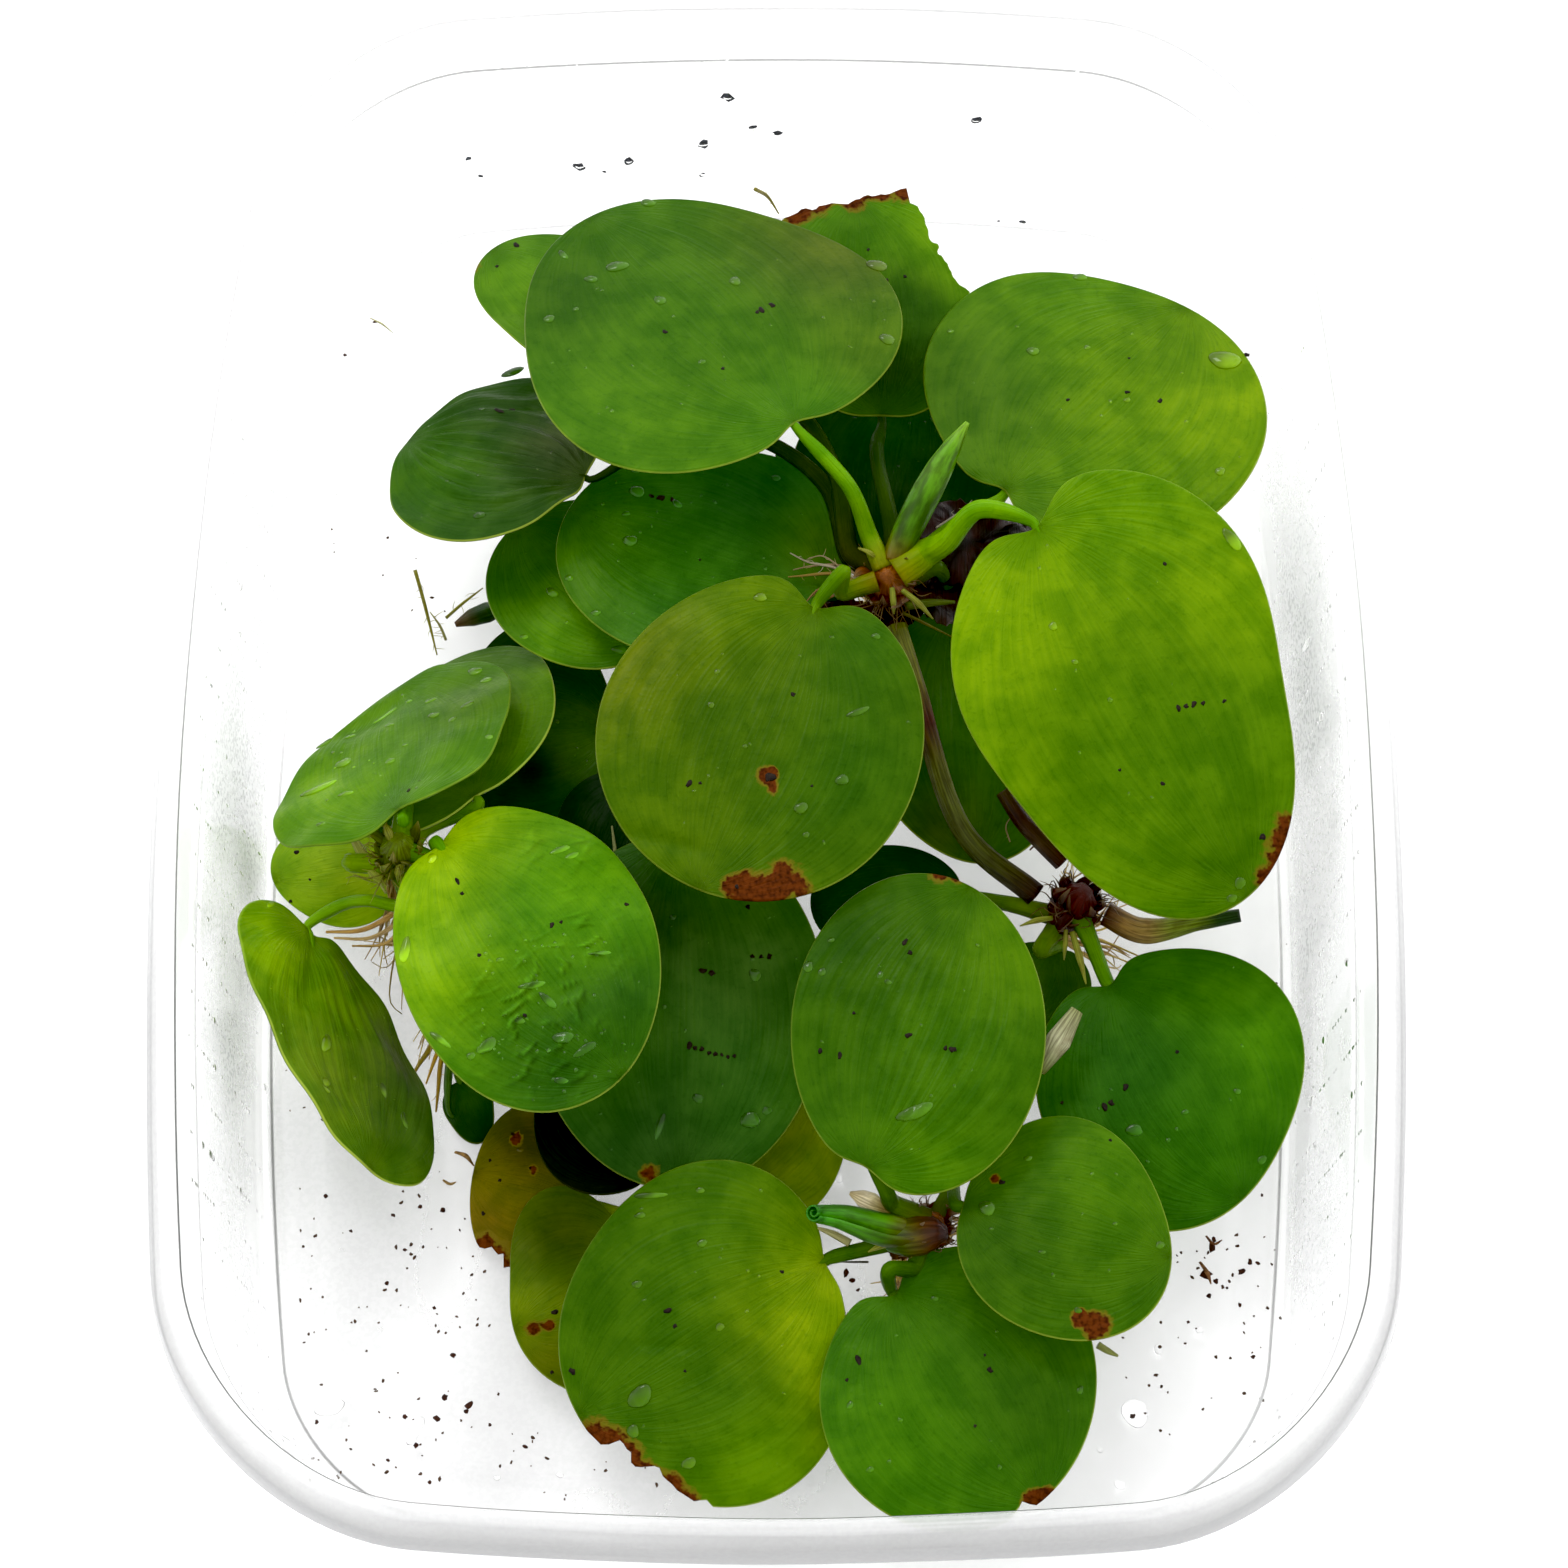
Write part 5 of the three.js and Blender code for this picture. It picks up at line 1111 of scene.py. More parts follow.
def clear_plastic():
    """Clear moulded plastic, faintly milky, denser seen edge on. Its tint carries painted shade and painted
    dark lines along sharp edges; fogged patches hold condensation with a painted dark green reflection of the
    leaves.
    """
    paint = Paint("clear_plastic")
    tint = paint.tint()
    cloud = paint.noise(paint.place(), 90.0, 1.0)
    beads = paint.noise(paint.place(), 1900.0, 1.0)
    fog_and_reflection = paint.product(paint.split(paint.stored("marks"))[0], paint.smooth(cloud, 0.35, 0.6, 0.35, 1.0))
    facing = paint.node("ShaderNodeLayerWeight")
    paint.feed(facing.inputs["Blend"], 0.5)
    slant = paint.smooth(facing.outputs["Facing"], 0.35, 0.98)
    colour = paint.shaded(paint.product(slant, 0.6), tint, (0.9, 0.91, 0.94))
    colour = paint.shaded(paint.smooth(beads, 0.35, 0.65, 0.0, 0.15), colour, (0.72, 0.72, 0.74))
    # painted reflection: condensation stipple coloured dark green like the leaves reflected in the wall
    colour = paint.mix(paint.product(fog_and_reflection, paint.smooth(beads, 0.5, 0.57)), colour, (0.13, 0.17, 0.13))
    milky = paint.smooth(cloud, 0.3, 0.7, 0.015, 0.045)
    alpha = paint.total(paint.product(slant, 0.42), milky)
    alpha = paint.total(alpha, paint.product(fog_and_reflection, 0.42))
    alpha = paint.total(alpha, paint.smooth(tint, 0.9, 0.3, 0.0, 0.85))
    return paint.finish(Base_Color=colour, Alpha=alpha, IOR=1.49,
                        Roughness=paint.smooth(cloud, 0.4, 0.7, 0.07, 0.13))


def water():
    """Clear water."""
    paint = Paint("water")
    still = paint.noise(paint.place(), 300.0, 1.0)
    return paint.finish(Base_Color=(1, 1, 1), Roughness=paint.smooth(still, 0.3, 0.7, 0.0, 0.02),
                        Transmission_Weight=1.0, IOR=1.333)


def bead_skin():
    """Water bead on a leaf, which takes the leaf's colour with painted light and shade: lighter on the side
    away from the light, darker on the other.
    """
    paint = Paint("bead_skin")
    ripple = paint.noise(paint.place(), 900.0, 1.0)
    colour = paint.shaded(paint.smooth(ripple, 0.35, 0.65), paint.tint(), (1.15, 1.12, 1.1))
    return paint.finish(Base_Color=colour, Roughness=paint.smooth(ripple, 0.3, 0.7, 0.03, 0.08), IOR=1.333)


def dirt_skin():
    """Dark brown crumbs and bruises."""
    paint = Paint("dirt_skin")
    grain = paint.noise(paint.place(), 2600.0, 3.0)
    colour = paint.shaded(paint.smooth(grain, 0.35, 0.65), paint.tint(), (0.4, 0.35, 0.3))
    paint.bump(grain, 0.0001)
    return paint.finish(Base_Color=colour, Roughness=0.75, Specular_IOR_Level=0.3)


def table_top():
    """Plain pale table, with a very faint unevenness."""
    paint = Paint("table_top")
    grain = paint.noise(paint.place(), 14.0, 2.0)
    colour = paint.mix(paint.smooth(grain, 0.3, 0.7), (0.93, 0.93, 0.93), (0.95, 0.95, 0.95))
    return paint.finish(Base_Color=colour, Roughness=0.6, Specular_IOR_Level=0.2)


# Tub

def tub_outline(inset, z, corner):
    """One level outline of the tub: a rounded rectangle whose four sides bow outwards."""
    a = MOUTH_HALF_WIDTH - SIDE_BOW - inset
    b = MOUTH_HALF_LENGTH - END_BOW - inset
    p, q = a - corner, b - corner
    centres = [(p, q), (-p, q), (-p, -q), (p, -q)]
    flat = []
    for quarter, (x, y) in enumerate(centres):
        turn = (quarter + np.linspace(0, 1, CORNER_STEPS + 1)) * math.pi / 2
        arc = np.stack([x + corner * np.cos(turn), y + corner * np.sin(turn)], 1)
        nx, ny = centres[(quarter + 1) % 4]
        after = (quarter + 1) * math.pi / 2
        goal = np.array([nx + corner * math.cos(after), ny + corner * math.sin(after)])
        share = np.linspace(0, 1, SIDE_STEPS + 1)[1:-1, None]
        flat += [arc, arc[-1] + (goal - arc[-1]) * share]
    x, y = np.vstack(flat).T
    return np.stack([x * (1 + SIDE_BOW / a * (1 - (y / b) ** 2)),
                     y * (1 + END_BOW / b * (1 - (x / a) ** 2)),
                     np.full(len(x), float(z))], 1)


def rounded_section():
    """The tub's section with each edge rounded and its long runs divided, and how grey each station is."""
    stations = np.array(TUB_SECTION, float)
    fine, greys = [stations[0]], [PALE]
    for number, (before, here, after) in enumerate(zip(stations, stations[1:], stations[2:]), 1):
        back, ahead = before - here, after - here
        reach = [min(EDGE_ROUNDING, 0.4 * np.hypot(*v[:2])) / np.hypot(*v[:2]) for v in (back, ahead)]
        start, end = here + back * reach[0], here + ahead * reach[1]
        for t in ROUNDING_STEPS:
            fine.append((1 - t) ** 2 * start + 2 * t * (1 - t) * here + t ** 2 * end)
            plain = FACE_GREYS.get(number, PALE)
            # painted dark lines along the sharp edges
            greys.append(PAINTED_EDGE_LINES.get(number, plain) if 0 < t < 1 else plain)
    fine.append(stations[-1])
    greys.append(FLOOR_GREY)
    divided, shades = [fine[0]], [PALE]
    for here, after, grey, next_grey in zip(fine, fine[1:], greys, greys[1:]):
        pieces = max(1, int(np.hypot(*(after - here)[:2]) / FACE_LENGTH))
        for k in range(1, pieces + 1):
            divided.append(here + (after - here) * k / pieces)
            shades.append(grey + (next_grey - grey) * k / pieces)
    return divided, np.array(shades)


def wall_outline(z):
    """Outline of the inner wall at a height."""
    (low_in, low, low_corner), (high_in, high, high_corner) = TUB_SECTION[WALL_FOOT], TUB_SECTION[WALL_TOP]
    share = (z - low) / (high - low)
    corner = low_corner + (high_corner - low_corner) * share
    return tub_outline(low_in + (high_in - low_in) * share, z, corner)


def wall_frame(point):
    """The nearest place on the inner wall at a point's height, and its directions along, up and inward."""
    ring = wall_outline(point[2])
    nearest = int(np.argmin(np.linalg.norm(ring - point, axis=1)))
    along = ring[(nearest + 1) % len(ring)] - ring[nearest - 1]
    along /= np.linalg.norm(along)
    up = wall_outline(point[2] + 1)[nearest] - ring[nearest]
    up -= along * (up @ along)
    up /= np.linalg.norm(up)
    inward = np.cross(up, along)
    if inward[:2] @ ring[nearest][:2] > 0:
        inward = -inward
    return ring[nearest], along, up, inward


def on_wall(px):
    """Where the ray through a pixel comes to the inner wall, from inside."""
    for z in np.arange(RIM_SIDE, FLOOR_TOP, -WALL_STEP):
        point = at_level(px, z)
        ring = wall_outline(z)
        nearest = ring[int(np.argmin(np.linalg.norm(ring - point, axis=1)))]
        if np.linalg.norm(point[:2]) > np.linalg.norm(nearest[:2]) - WALL_REACH:
            return wall_frame(point)
    return wall_frame(point)


def moulded(points):
    """The tub's points with the slight waves of moulded plastic, on its walls and on the floor's panel."""
    x, y, z = points.T
    walls = np.clip((z - 2) * 3, 0, 1)
    x += MOULD_WAVES * walls * hills(4, y, z * 2, WALL_WAVE)
    y += MOULD_WAVES * walls * hills(5, x, z * 2, WALL_WAVE)
    panel = np.clip((z - 1.5) * 3, 0, 1) * (z < FLOOR_BAND)
    z -= MOULD_WAVES * panel * np.clip(hills(6, x, y, PANEL_WAVE) + 0.6, 0, 2)
    return points


def tub_tint(points, greys):
    """How light each point of the tub is: the painted shade of the greys fades to the back, where painted
    fine dark lines appear, and the floor gets painted light on the right.
    """
    x, y, z = points.T
    floor = z < FLOOR_BAND
    # painted shade: the greys are full at the front and weaken towards the back
    weight = np.clip((GREY_BACK - y) / (GREY_BACK - GREY_FRONT), GREY_LEAST, 1)
    weight = np.where(greys < DARK_GREY, np.maximum(weight, EDGE_LEAST), weight)
    streaks = FLOOR_STREAKS * hills(8, x, y * 0.3, 12) * floor
    # painted light: the floor grows lighter towards the right to even out the shade there
    slope = FLOOR_PAINTED_LIGHT * x * floor
    tint = np.clip(1 - (1 - greys) * weight + (streaks + slope) * weight, 0, 1)
    # painted fine dark lines at the back
    behind = np.clip((y - LINES_FROM) / (LINES_FULL - LINES_FROM), 0, 1)
    for station, grey in BACK_LINES.items():
        line = np.isclose(greys, PAINTED_EDGE_LINES[station])
        tint = np.where(line, tint + (grey - tint) * behind, tint)
    return tint


def make_tub(material):
    clay = Clay()
    section, greys = rounded_section()
    rings = [tub_outline(*station) for station in section]
    count = len(rings[0])
    points = moulded(closed(rings))
    greys = np.repeat(np.concatenate([greys, [PALE, FLOOR_GREY]]), [count] * len(rings) + [1, 1])
    tint = tub_tint(points, greys)
    fog_and_reflection = np.zeros((len(points), 3))
    for middle, reach, strength in FOG_AND_REFLECTIONS:
        away = np.linalg.norm((points - middle) / [FOG_HALF_WIDTH, reach, FOG_HALF_HEIGHT], axis=1)
        fog_and_reflection[:, 0] = np.maximum(fog_and_reflection[:, 0], strength * np.exp(-away ** 2))
    clay.add(points, ring_faces(len(rings), count), np.stack([tint] * 3, 1), marks=fog_and_reflection)
    tub = clay.piece("tub_moulded", material, ["tub"])
    tub.visible_shadow = False


# Leaves

def size_of(leaf):
    return sum(leaf["half"]) / 2


def seed_of(leaf):
    return sum(map(ord, leaf["name"]))


def blade_radius(leaf, angle):
    """Distance from the blade's middle to its edge, at an angle from the tip."""
    length, width = leaf["half"]
    along = angle - math.radians(leaf["skew"])
    oval = length * width / np.hypot(width * np.cos(along), length * np.sin(along))
    egg = 1 + leaf["egg"][0] * np.cos(3 * (angle - math.radians(leaf["egg"][1])))
    radius = oval * egg - leaf["notch"] * np.exp(-(((math.pi - np.abs(angle)) / NOTCH_ANGLE) ** 2))
    for direction, reach in leaf.get("cuts", []):
        facing = np.cos(angle - math.radians(direction))
        tear = 0.35 * (hills(5, angle * 40, angle * 0, 9) + hills(6, angle * 40, angle * 0, 3) * 0.6 - 0.9)
        cut = (reach + tear) / np.maximum(facing, 0.05)
        radius = np.where(facing > 0.05, np.minimum(radius, cut), radius)
    return radius


def blade_frame(leaf):
    return leaning(leaf["slope"]) @ turned(leaf["turn"])


def bitten(leaf, look, angle):
    """The blade's edge with its bitten and torn places taken out."""
    radius = blade_radius(leaf, angle)
    for px, width, depth in look["bites"]:
        x, y = leaf_place(leaf, px)[:2]
        reach = math.hypot(x, y)
        away = np.abs((angle - math.atan2(y, x) + math.pi) % (2 * math.pi) - math.pi) * reach
        tooth = depth * (1 + 0.35 * hills(len(leaf["name"]), angle * 30, angle * 0, 3))
        radius = radius - np.clip(tooth, 0, None) * np.exp(-(away / width) ** 4)
    return radius


def leaf_place(leaf, px):
    """Where the ray through a pixel meets the blade, in the blade's own frame."""
    rotation = blade_frame(leaf)
    sag = 0.0
    for _ in range(3):
        point = on_plane(px, np.array(leaf["at"]) + rotation[:, 2] * sag, rotation[:, 2])
        local = rotation.T @ (point - leaf["at"])
        sag = -BLADE_DROOP * (local[0] ** 2 + local[1] ** 2) / size_of(leaf) ** 2
    return local


def vein_field(leaf, x, y):
    """Two values over a blade: across stays the same on each arc from stalk to tip, where along grows."""
    base = float(blade_radius(leaf, np.array(math.pi)))
    tip = float(blade_radius(leaf, np.array(0.0)))
    bx, by, tx, ty = -base - x, -y, tip - x, -y
    opening = np.arctan2(np.abs(bx * ty - by * tx), bx * tx + by * ty)
    across = np.sign(y) * 2 * (1 - opening / math.pi)
    along = np.log((np.hypot(bx, by) + 0.6) / (np.hypot(tx, ty) + 0.6))
    return across, along


def puckers(leaf, look, x, y):
    """Height of the wet puckered skin."""
    seed = seed_of(leaf)
    height = np.zeros(np.shape(x))
    crest = np.clip(1 - 2.6 * np.abs(hills(seed + 3, x, y * 0.7, 1.9, 8)), 0, 1) ** 2
    patchy = np.clip(0.45 + hills(seed + 4, x, y, 2.6, 7), 0, 1)
    for px, reach, rise in look["ripples"]:
        x0, y0 = leaf_place(leaf, px)[:2]
        wet = np.exp(-((x - x0) ** 2 + (y - y0) ** 2) / reach ** 2 * 2)
        height = height + rise * wet * crest * patchy
    return height


def blade_relief(leaf, look, x, y, share):
    """Height of the top surface over the plain drooping sheet."""
    across, along = vein_field(leaf, x, y)
    seed = seed_of(leaf)
    fade = np.clip((1 - share) * 5, 0, 1) * np.clip(1.6 - np.abs(along) * 0.5, 0, 1)
    depth, size = look["waves"]
    height = depth * hills(seed, x, y, size) * np.clip(share * 1.4, 0.2, 1)
    furrows = (0.5 + 0.5 * np.cos(across * 2 * math.pi * FURROWS)) ** 5
    height = height - look["veins"] * furrows * fade
    rise, arcs, uneven = look["ribs"]
    if rise:
        bend = uneven * hills(seed + 1, x, y, 7)
        patchy = 1 + 0.5 * hills(seed + 2, x, y, 5)
        height = height + rise * np.cos(across * 2 * math.pi * arcs + bend) * fade * patchy
    height = height + puckers(leaf, look, x, y)
    for start, end, width, rise in look["folds"]:
        (x0, y0), (x1, y1) = leaf_place(leaf, start)[:2], leaf_place(leaf, end)[:2]
        dx, dy = x1 - x0, y1 - y0
        run = np.clip(((x - x0) * dx + (y - y0) * dy) / (dx ** 2 + dy ** 2), 0, 1)
        away = np.hypot(x - x0 - dx * run, y - y0 - dy * run)
        height = height + rise * np.exp(-(away / width) ** 2)
    return height


def top_height(leaf, look, x, y):
    """Height of a blade's top surface in its own frame."""
    share = np.hypot(x, y) / bitten(leaf, look, np.arctan2(y, x))
    droop = -BLADE_DROOP * (x ** 2 + y ** 2) / size_of(leaf) ** 2
    return droop + blade_relief(leaf, look, x, y, share)


def leaf_tint(leaf, look, local):
    """Colour and hurt share at places on a blade, with painted light and shade on the wet puckers."""
    tint = np.broadcast_to(rgb(look["base"]), (len(local), 3)).copy()
    for px, reach, code in look["tones"]:
        away = np.linalg.norm(local[:, :2] - leaf_place(leaf, px)[:2], axis=1)
        share = np.exp(-(away / reach) ** 2)[:, None]
        tint = tint * (1 - share) + rgb(code) * share
    tint = tint * LEAF_DEPTH + LEAF_HAZE
    tint[:, 0] += LEAF_WARMTH * tint[:, 1]
    if look["ripples"]:
        # painted light and shade: puckers are lighter on slopes that face one way and darker on the others
        x, y = local[:, 0], local[:, 1]
        slope = puckers(leaf, look, x + 0.2, y + 0.1) - puckers(leaf, look, x - 0.2, y - 0.1)
        tint = tint * np.clip(1 + PAINTED_PUCKER_LIGHT * slope, 0.55, 2.4)[:, None]
    hurt = np.zeros(len(local))
    for px, reach in look["hurt"]:
        away = np.linalg.norm(local[:, :2] - leaf_place(leaf, px)[:2], axis=1)
        hurt = np.maximum(hurt, 1.25 - 0.75 * away / reach)
    return tint, np.clip(hurt, 0, 1)


def grip_points(crown_name, grip, reach):
    """Where a stalk meets its crown, and a point further out."""
    crown = CROWNS[crown_name]
    height, turn = grip
    out = heading(math.radians(turn))
    radius = CROWN_RADIUS * crown["size"] + GAP
    tilt = leaning(crown["lean"])
    up = np.array([0, 0, height * crown["size"]])
    return [tilt @ (up + out * r) + crown["at"] for r in (radius, radius + reach)]


def look_of(leaf):
    return {**PLAIN_LOOK, **LOOKS[leaf["name"]]}


def add_blade(clay, leaf, look):
    """A blade as rings from the middle of its underside, out over its edge, to the middle of its top."""
    size = size_of(leaf)
    fine = size > SMALL_LEAF
    count = 200 if fine else 110
    t = np.linspace(-1, 1, count, endpoint=False)
    angles = math.pi * t * (1.25 - 0.25 * t ** 2)
    edge = bitten(leaf, look, angles)
    rotation = blade_frame(leaf)
    outward = rotation[:2, :2] @ np.stack([np.cos(angles), np.sin(angles)])
    # painted highlight: the edge line is strongest where the edge faces away from the light
    painted_edge_highlight_strength = (0.2 + 0.4 * (1 + AWAY_FROM_LIGHT @ outward)) * look["pale"]
    over = [*np.linspace(0.03, 0.965, 36 if fine else 16), 0.982, 0.993]
    under = [*np.linspace(0.08, 0.96, 9 if fine else 5), 0.99]
    # Each ring's share of the way out, and how deep below the top it lies, as a share of the thickness
    layers = [(share, 1) for share in under] + [(1.0, 0.5)] + [(share, 0) for share in reversed(over)]
    points, marks = [], []
    for share, depth in layers:
        r = edge * share
        x, y = r * np.cos(angles), r * np.sin(angles)
        thick = BLADE_THICK + (BLADE_EDGE - BLADE_THICK) * share
        z = -BLADE_DROOP * (r / size) ** 2
        z = z + blade_relief(leaf, look, x, y, np.full(count, share)) - thick * depth
        points.append(np.stack([x, y, z], 1))
        from_edge = edge * (1 - share) + (0.6 if depth == 1 else 0)
        marks.append(np.stack([np.zeros(count), from_edge, painted_edge_highlight_strength], 1))
    middle = np.zeros(1)
    top = float(blade_relief(leaf, look, middle, middle, middle)[0])
    local = np.vstack(points + [[0, 0, top - BLADE_THICK], [0, 0, top]])
    marks = np.vstack(marks + [[0, 9, 0], [0, 9, 0]])
    tint, marks[:, 0] = leaf_tint(leaf, look, local)
    across, along = vein_field(leaf, local[:, 0], local[:, 1])
    veins = np.stack([across, along, np.full(len(local), seed_of(leaf) % 97)], 1)
    clay.add(local @ rotation.T + leaf["at"], ring_faces(len(layers), count), tint, veins, marks)


def add_stalk(clay, leaf, look):
    """A stalk from under the blade's notch to its crown, thin at the blade."""
    rotation = blade_frame(leaf)
    base = float(blade_radius(leaf, np.array(math.pi)))
    droop = -BLADE_DROOP * (base / leaf["half"][0]) ** 2
    grip, before = grip_points(leaf["crown"], leaf["grip"], 2.2)
    notch = look["tuck"] - base
    start = [[notch + STALK_INSIDE, 0, droop - BLADE_THICK], [notch + 0.4, 0, droop - BLADE_THICK * 0.8],
             [notch - 0.6, 0, droop - BLADE_THICK * (1 + 0.5 * look["tuck"])]]
    line = [rotation @ np.array(p) + leaf["at"] for p in start]
    line += [np.array(p, float) for p in leaf["via"]] + [before, grip, grip + (grip - before) * 0.8]
    # painted shade: a low stalk value darkens a stalk that lies in shadow, and its foot at the crown too
    green = (rgb(STALK_GREEN) * 0.45 + rgb(look["base"]) * 0.55) * look["stalk"]
    root = rgb(CROWN_COLOURS[leaf["crown"]][0]) * min(1, look["stalk"])
    swell = np.linspace(1, look["stout"], len(STALK_SWELL)) * STALK_SWELL
    tints = [green * 0.9, green, green, green * [1.1, 1, 1], green * [1.25, 1, 1], green * 0.45 + root * 0.55]
    strand(clay, line, swell, 16, 60, tints, seed_of(leaf) % 89, ridges=0.06, fibre=0.45)


def make_leaf(leaf, material):
    clay = Clay()
    look = look_of(leaf)
    add_blade(clay, leaf, look)
    add_stalk(clay, leaf, look)
    return clay.piece(leaf["name"] + "_blade", material, [leaf["name"]])


# Crowns, shoots and roots

def on_crown(crown, points):
    """Points that are given upright about a crown's middle, in their place on the leaning crown."""
    return np.array(points) @ leaning(crown["lean"]).T + crown["at"]


def add_stub(clay, crown, flesh, dark):
    """The rough round body of a crown, with painted shade: it darkens towards its foot."""
    r = CROWN_RADIUS * crown["size"]
    h = CROWN_HALF_HEIGHT * crown["size"]
    levels = np.linspace(-1, 1, 26)
    turn = circle(32)
    rings = []
    for level in levels:
        wide = r * np.interp(level, [-1, -0.5, 0, 0.5, 1], [0.5, 0.95, 0.85, 0.8, 0.3])
        rough = 1 + 0.1 * hills(3, turn * 6, turn * 0 + level * 9, 5) + 0.07 * np.cos(turn * 9 + level * 2)
        x, y = wide * rough * np.cos(turn), wide * rough * np.sin(turn)
        rings.append(np.stack([x, y, np.full(len(turn), level * h)], 1))
    points = on_crown(crown, closed(rings))
    veins = np.zeros((len(points), 3))
    veins[:-2, 0] = np.tile(np.abs(turn / math.pi - 1), len(levels)) * 2
    veins[:-2, 1] = np.repeat(levels, len(turn))
    # painted shade: the colour goes from the shaded colour at the foot to the flesh colour at the top
    high = np.concatenate([np.repeat(levels, len(turn)), [-1, 1]])[:, None] * 0.5 + 0.5
    clay.add(points, ring_faces(len(rings), len(turn)), dark + (flesh - dark) * high, veins)


def add_scales(clay, crown, rng, flesh, dark, fibre):
    """Narrow pointed scales that wrap a crown."""
    r = CROWN_RADIUS * crown["size"]
    h = CROWN_HALF_HEIGHT * crown["size"]
    for number in range(SCALES):
        low = rng.uniform(-0.5, 0.55) * h
        out = heading(math.radians(number * GOLDEN_ANGLE + 20))
        aside = np.cross(UP, out) * rng.uniform(-0.5, 0.5)
        reach = rng.uniform(1.6, 3.4) * crown["size"]
        path = [out * r * 0.7 + UP * low,
                (out + aside * 0.3) * r * rng.uniform(0.95, 1.15) + UP * (low + reach * 0.5),
                (out + aside) * r * rng.uniform(0.7, 1.35) + UP * (low + reach)]
        shade = rng.uniform(0, 1)
        tints = [dark, flesh * shade + dark * (1 - shade), fibre * 0.7]
        strand(clay, on_crown(crown, path), SCALE_RADII, 8, 12, tints, number, squash=[0.35], ridges=0.1)


def add_fibres(clay, crown, rng, dark, fibre):
    """Torn fibres that stand off a crown."""
    r = CROWN_RADIUS * crown["size"]
    h = CROWN_HALF_HEIGHT * crown["size"]
    for number in range(FIBRES):
        out = heading(rng.uniform(0, 2 * math.pi))
        low = rng.uniform(-0.8, 0.7) * h
        bend = rng.normal(0, 0.5, (3, 3)) * [[0], [0.8], [1.5]]
        path = np.array([out * r * 0.8, out * r * 1.25, out * r * rng.uniform(1.3, 1.9)]) + bend
        path[:, 2] += low + np.array([0, 0.5, rng.uniform(-1, 1.6)])
        strand(clay, on_crown(crown, path), FIBRE_RADII, 5, 9, [dark, fibre], number)


def make_crown(name, material):
    """A rosette's short stem: a rough stub with scales, torn fibres, buds and soft flesh."""
    crown = CROWNS[name]
    flesh, dark, fibre = map(rgb, CROWN_COLOURS[name])
    rng = np.random.default_rng(len(name) + 30)
    clay = Clay()
    add_stub(clay, crown, flesh, dark)
    add_scales(clay, crown, rng, flesh, dark, fibre)
    add_fibres(clay, crown, rng, dark, fibre)
    for start, end, heights, wide in CROWN_BUDS.get(name, []):
        root, tip = [at_level(px, z) for px, z in zip((start, end), heights)]
        line = [root, (root + tip) / 2 + UP * 0.5, tip]
        strand(clay, line, [wide * 0.8, wide, 0.08], 8, 14, [rgb(code) for code in BUD_GREENS], 3)
    if name in CROWN_FLESH:
        soft = CROWN_FLESH[name]
        strand(clay, soft["path"], soft["radii"], 28, 40, [rgb(code) for code in soft["colours"]], 4,
               squash=[soft["flat"]], ridges=0.03, fibre=0.8)
    return clay.piece("crown_" + name + "_stem", material, ["crown_" + name])


def scroll(clay, path, radii, turns, thick, tints):
    """A leaf that is still rolled up: a sheet whose section is a spiral."""
    steps, count = SCROLL_STEPS
    line = smooth_line(path, steps)
    share = np.linspace(0, 1, steps)
    radius = spread(radii, share)
    side, other = line_frames(line)
    t = np.linspace(0, 1, count)
    angle = 2 * math.pi * turns * t + 0.16
    rings = []
    for k in range(steps):
        flap = 1 + 0.35 * np.clip((t - 0.8) / 0.2, 0, 1) * np.clip(1.2 - share[k], 0, 1)
        out = radius[k] * (0.28 + 0.72 * t ** 0.8) * (1 + 0.03 * np.sin(9 * t + share[k] * 14)) * flap
        faces_of_sheet = []
        for r in (out, out - thick):
            u, v = (r * np.cos(angle))[:, None], (r * np.sin(angle))[:, None]
            faces_of_sheet.append(line[k] + u * side[k] + v * other[k])
        outer, inner = faces_of_sheet
        rings.append(np.vstack([outer, inner[::-1]]))
    size = 2 * count
    faces = []
    for k in range(steps - 1):
        for j in range(size):
            a, b = k * size + j, k * size + (j + 1) % size
            faces.append((b, a, a + size, b + size))
    last = (steps - 1) * size
    for j in range(count - 1):
        a, b, c, d = j, j + 1, size - 2 - j, size - 1 - j
        faces.append((a, b, c, d))
        faces.append((last + d, last + c, last + b, last + a))
    veins = np.zeros((steps, size, 3))
    veins[:, :, 0] = np.concatenate([t, t[::-1]]) * 0.9
    veins[:, :, 1] = share[:, None]
    colours = np.repeat(spread(tints, share), size, 0)
    clay.add(np.vstack(rings), faces, colours, veins.reshape(-1, 3))


def make_shoot(name, material):
    shoot = {**PLAIN_SHOOT, **SHOOTS[name]}
    tints = [rgb(code) for code in SHOOT_COLOURS[name]]
    radii = np.array(shoot["radii"])
    clay = Clay()
    if name == "rolled_leaf":
        scroll(clay, shoot["path"], radii * SCROLL_GROW, SCROLL_TURNS, SCROLL_THICK, tints)
    else:
        strand(clay, shoot["path"], radii * shoot["grow"], 20, 44, tints, len(name), squash=[shoot["flat"]],
               ridges=shoot["ridges"], fibre=shoot["fibre"])
    return clay.piece(name + "_form", material, [name])


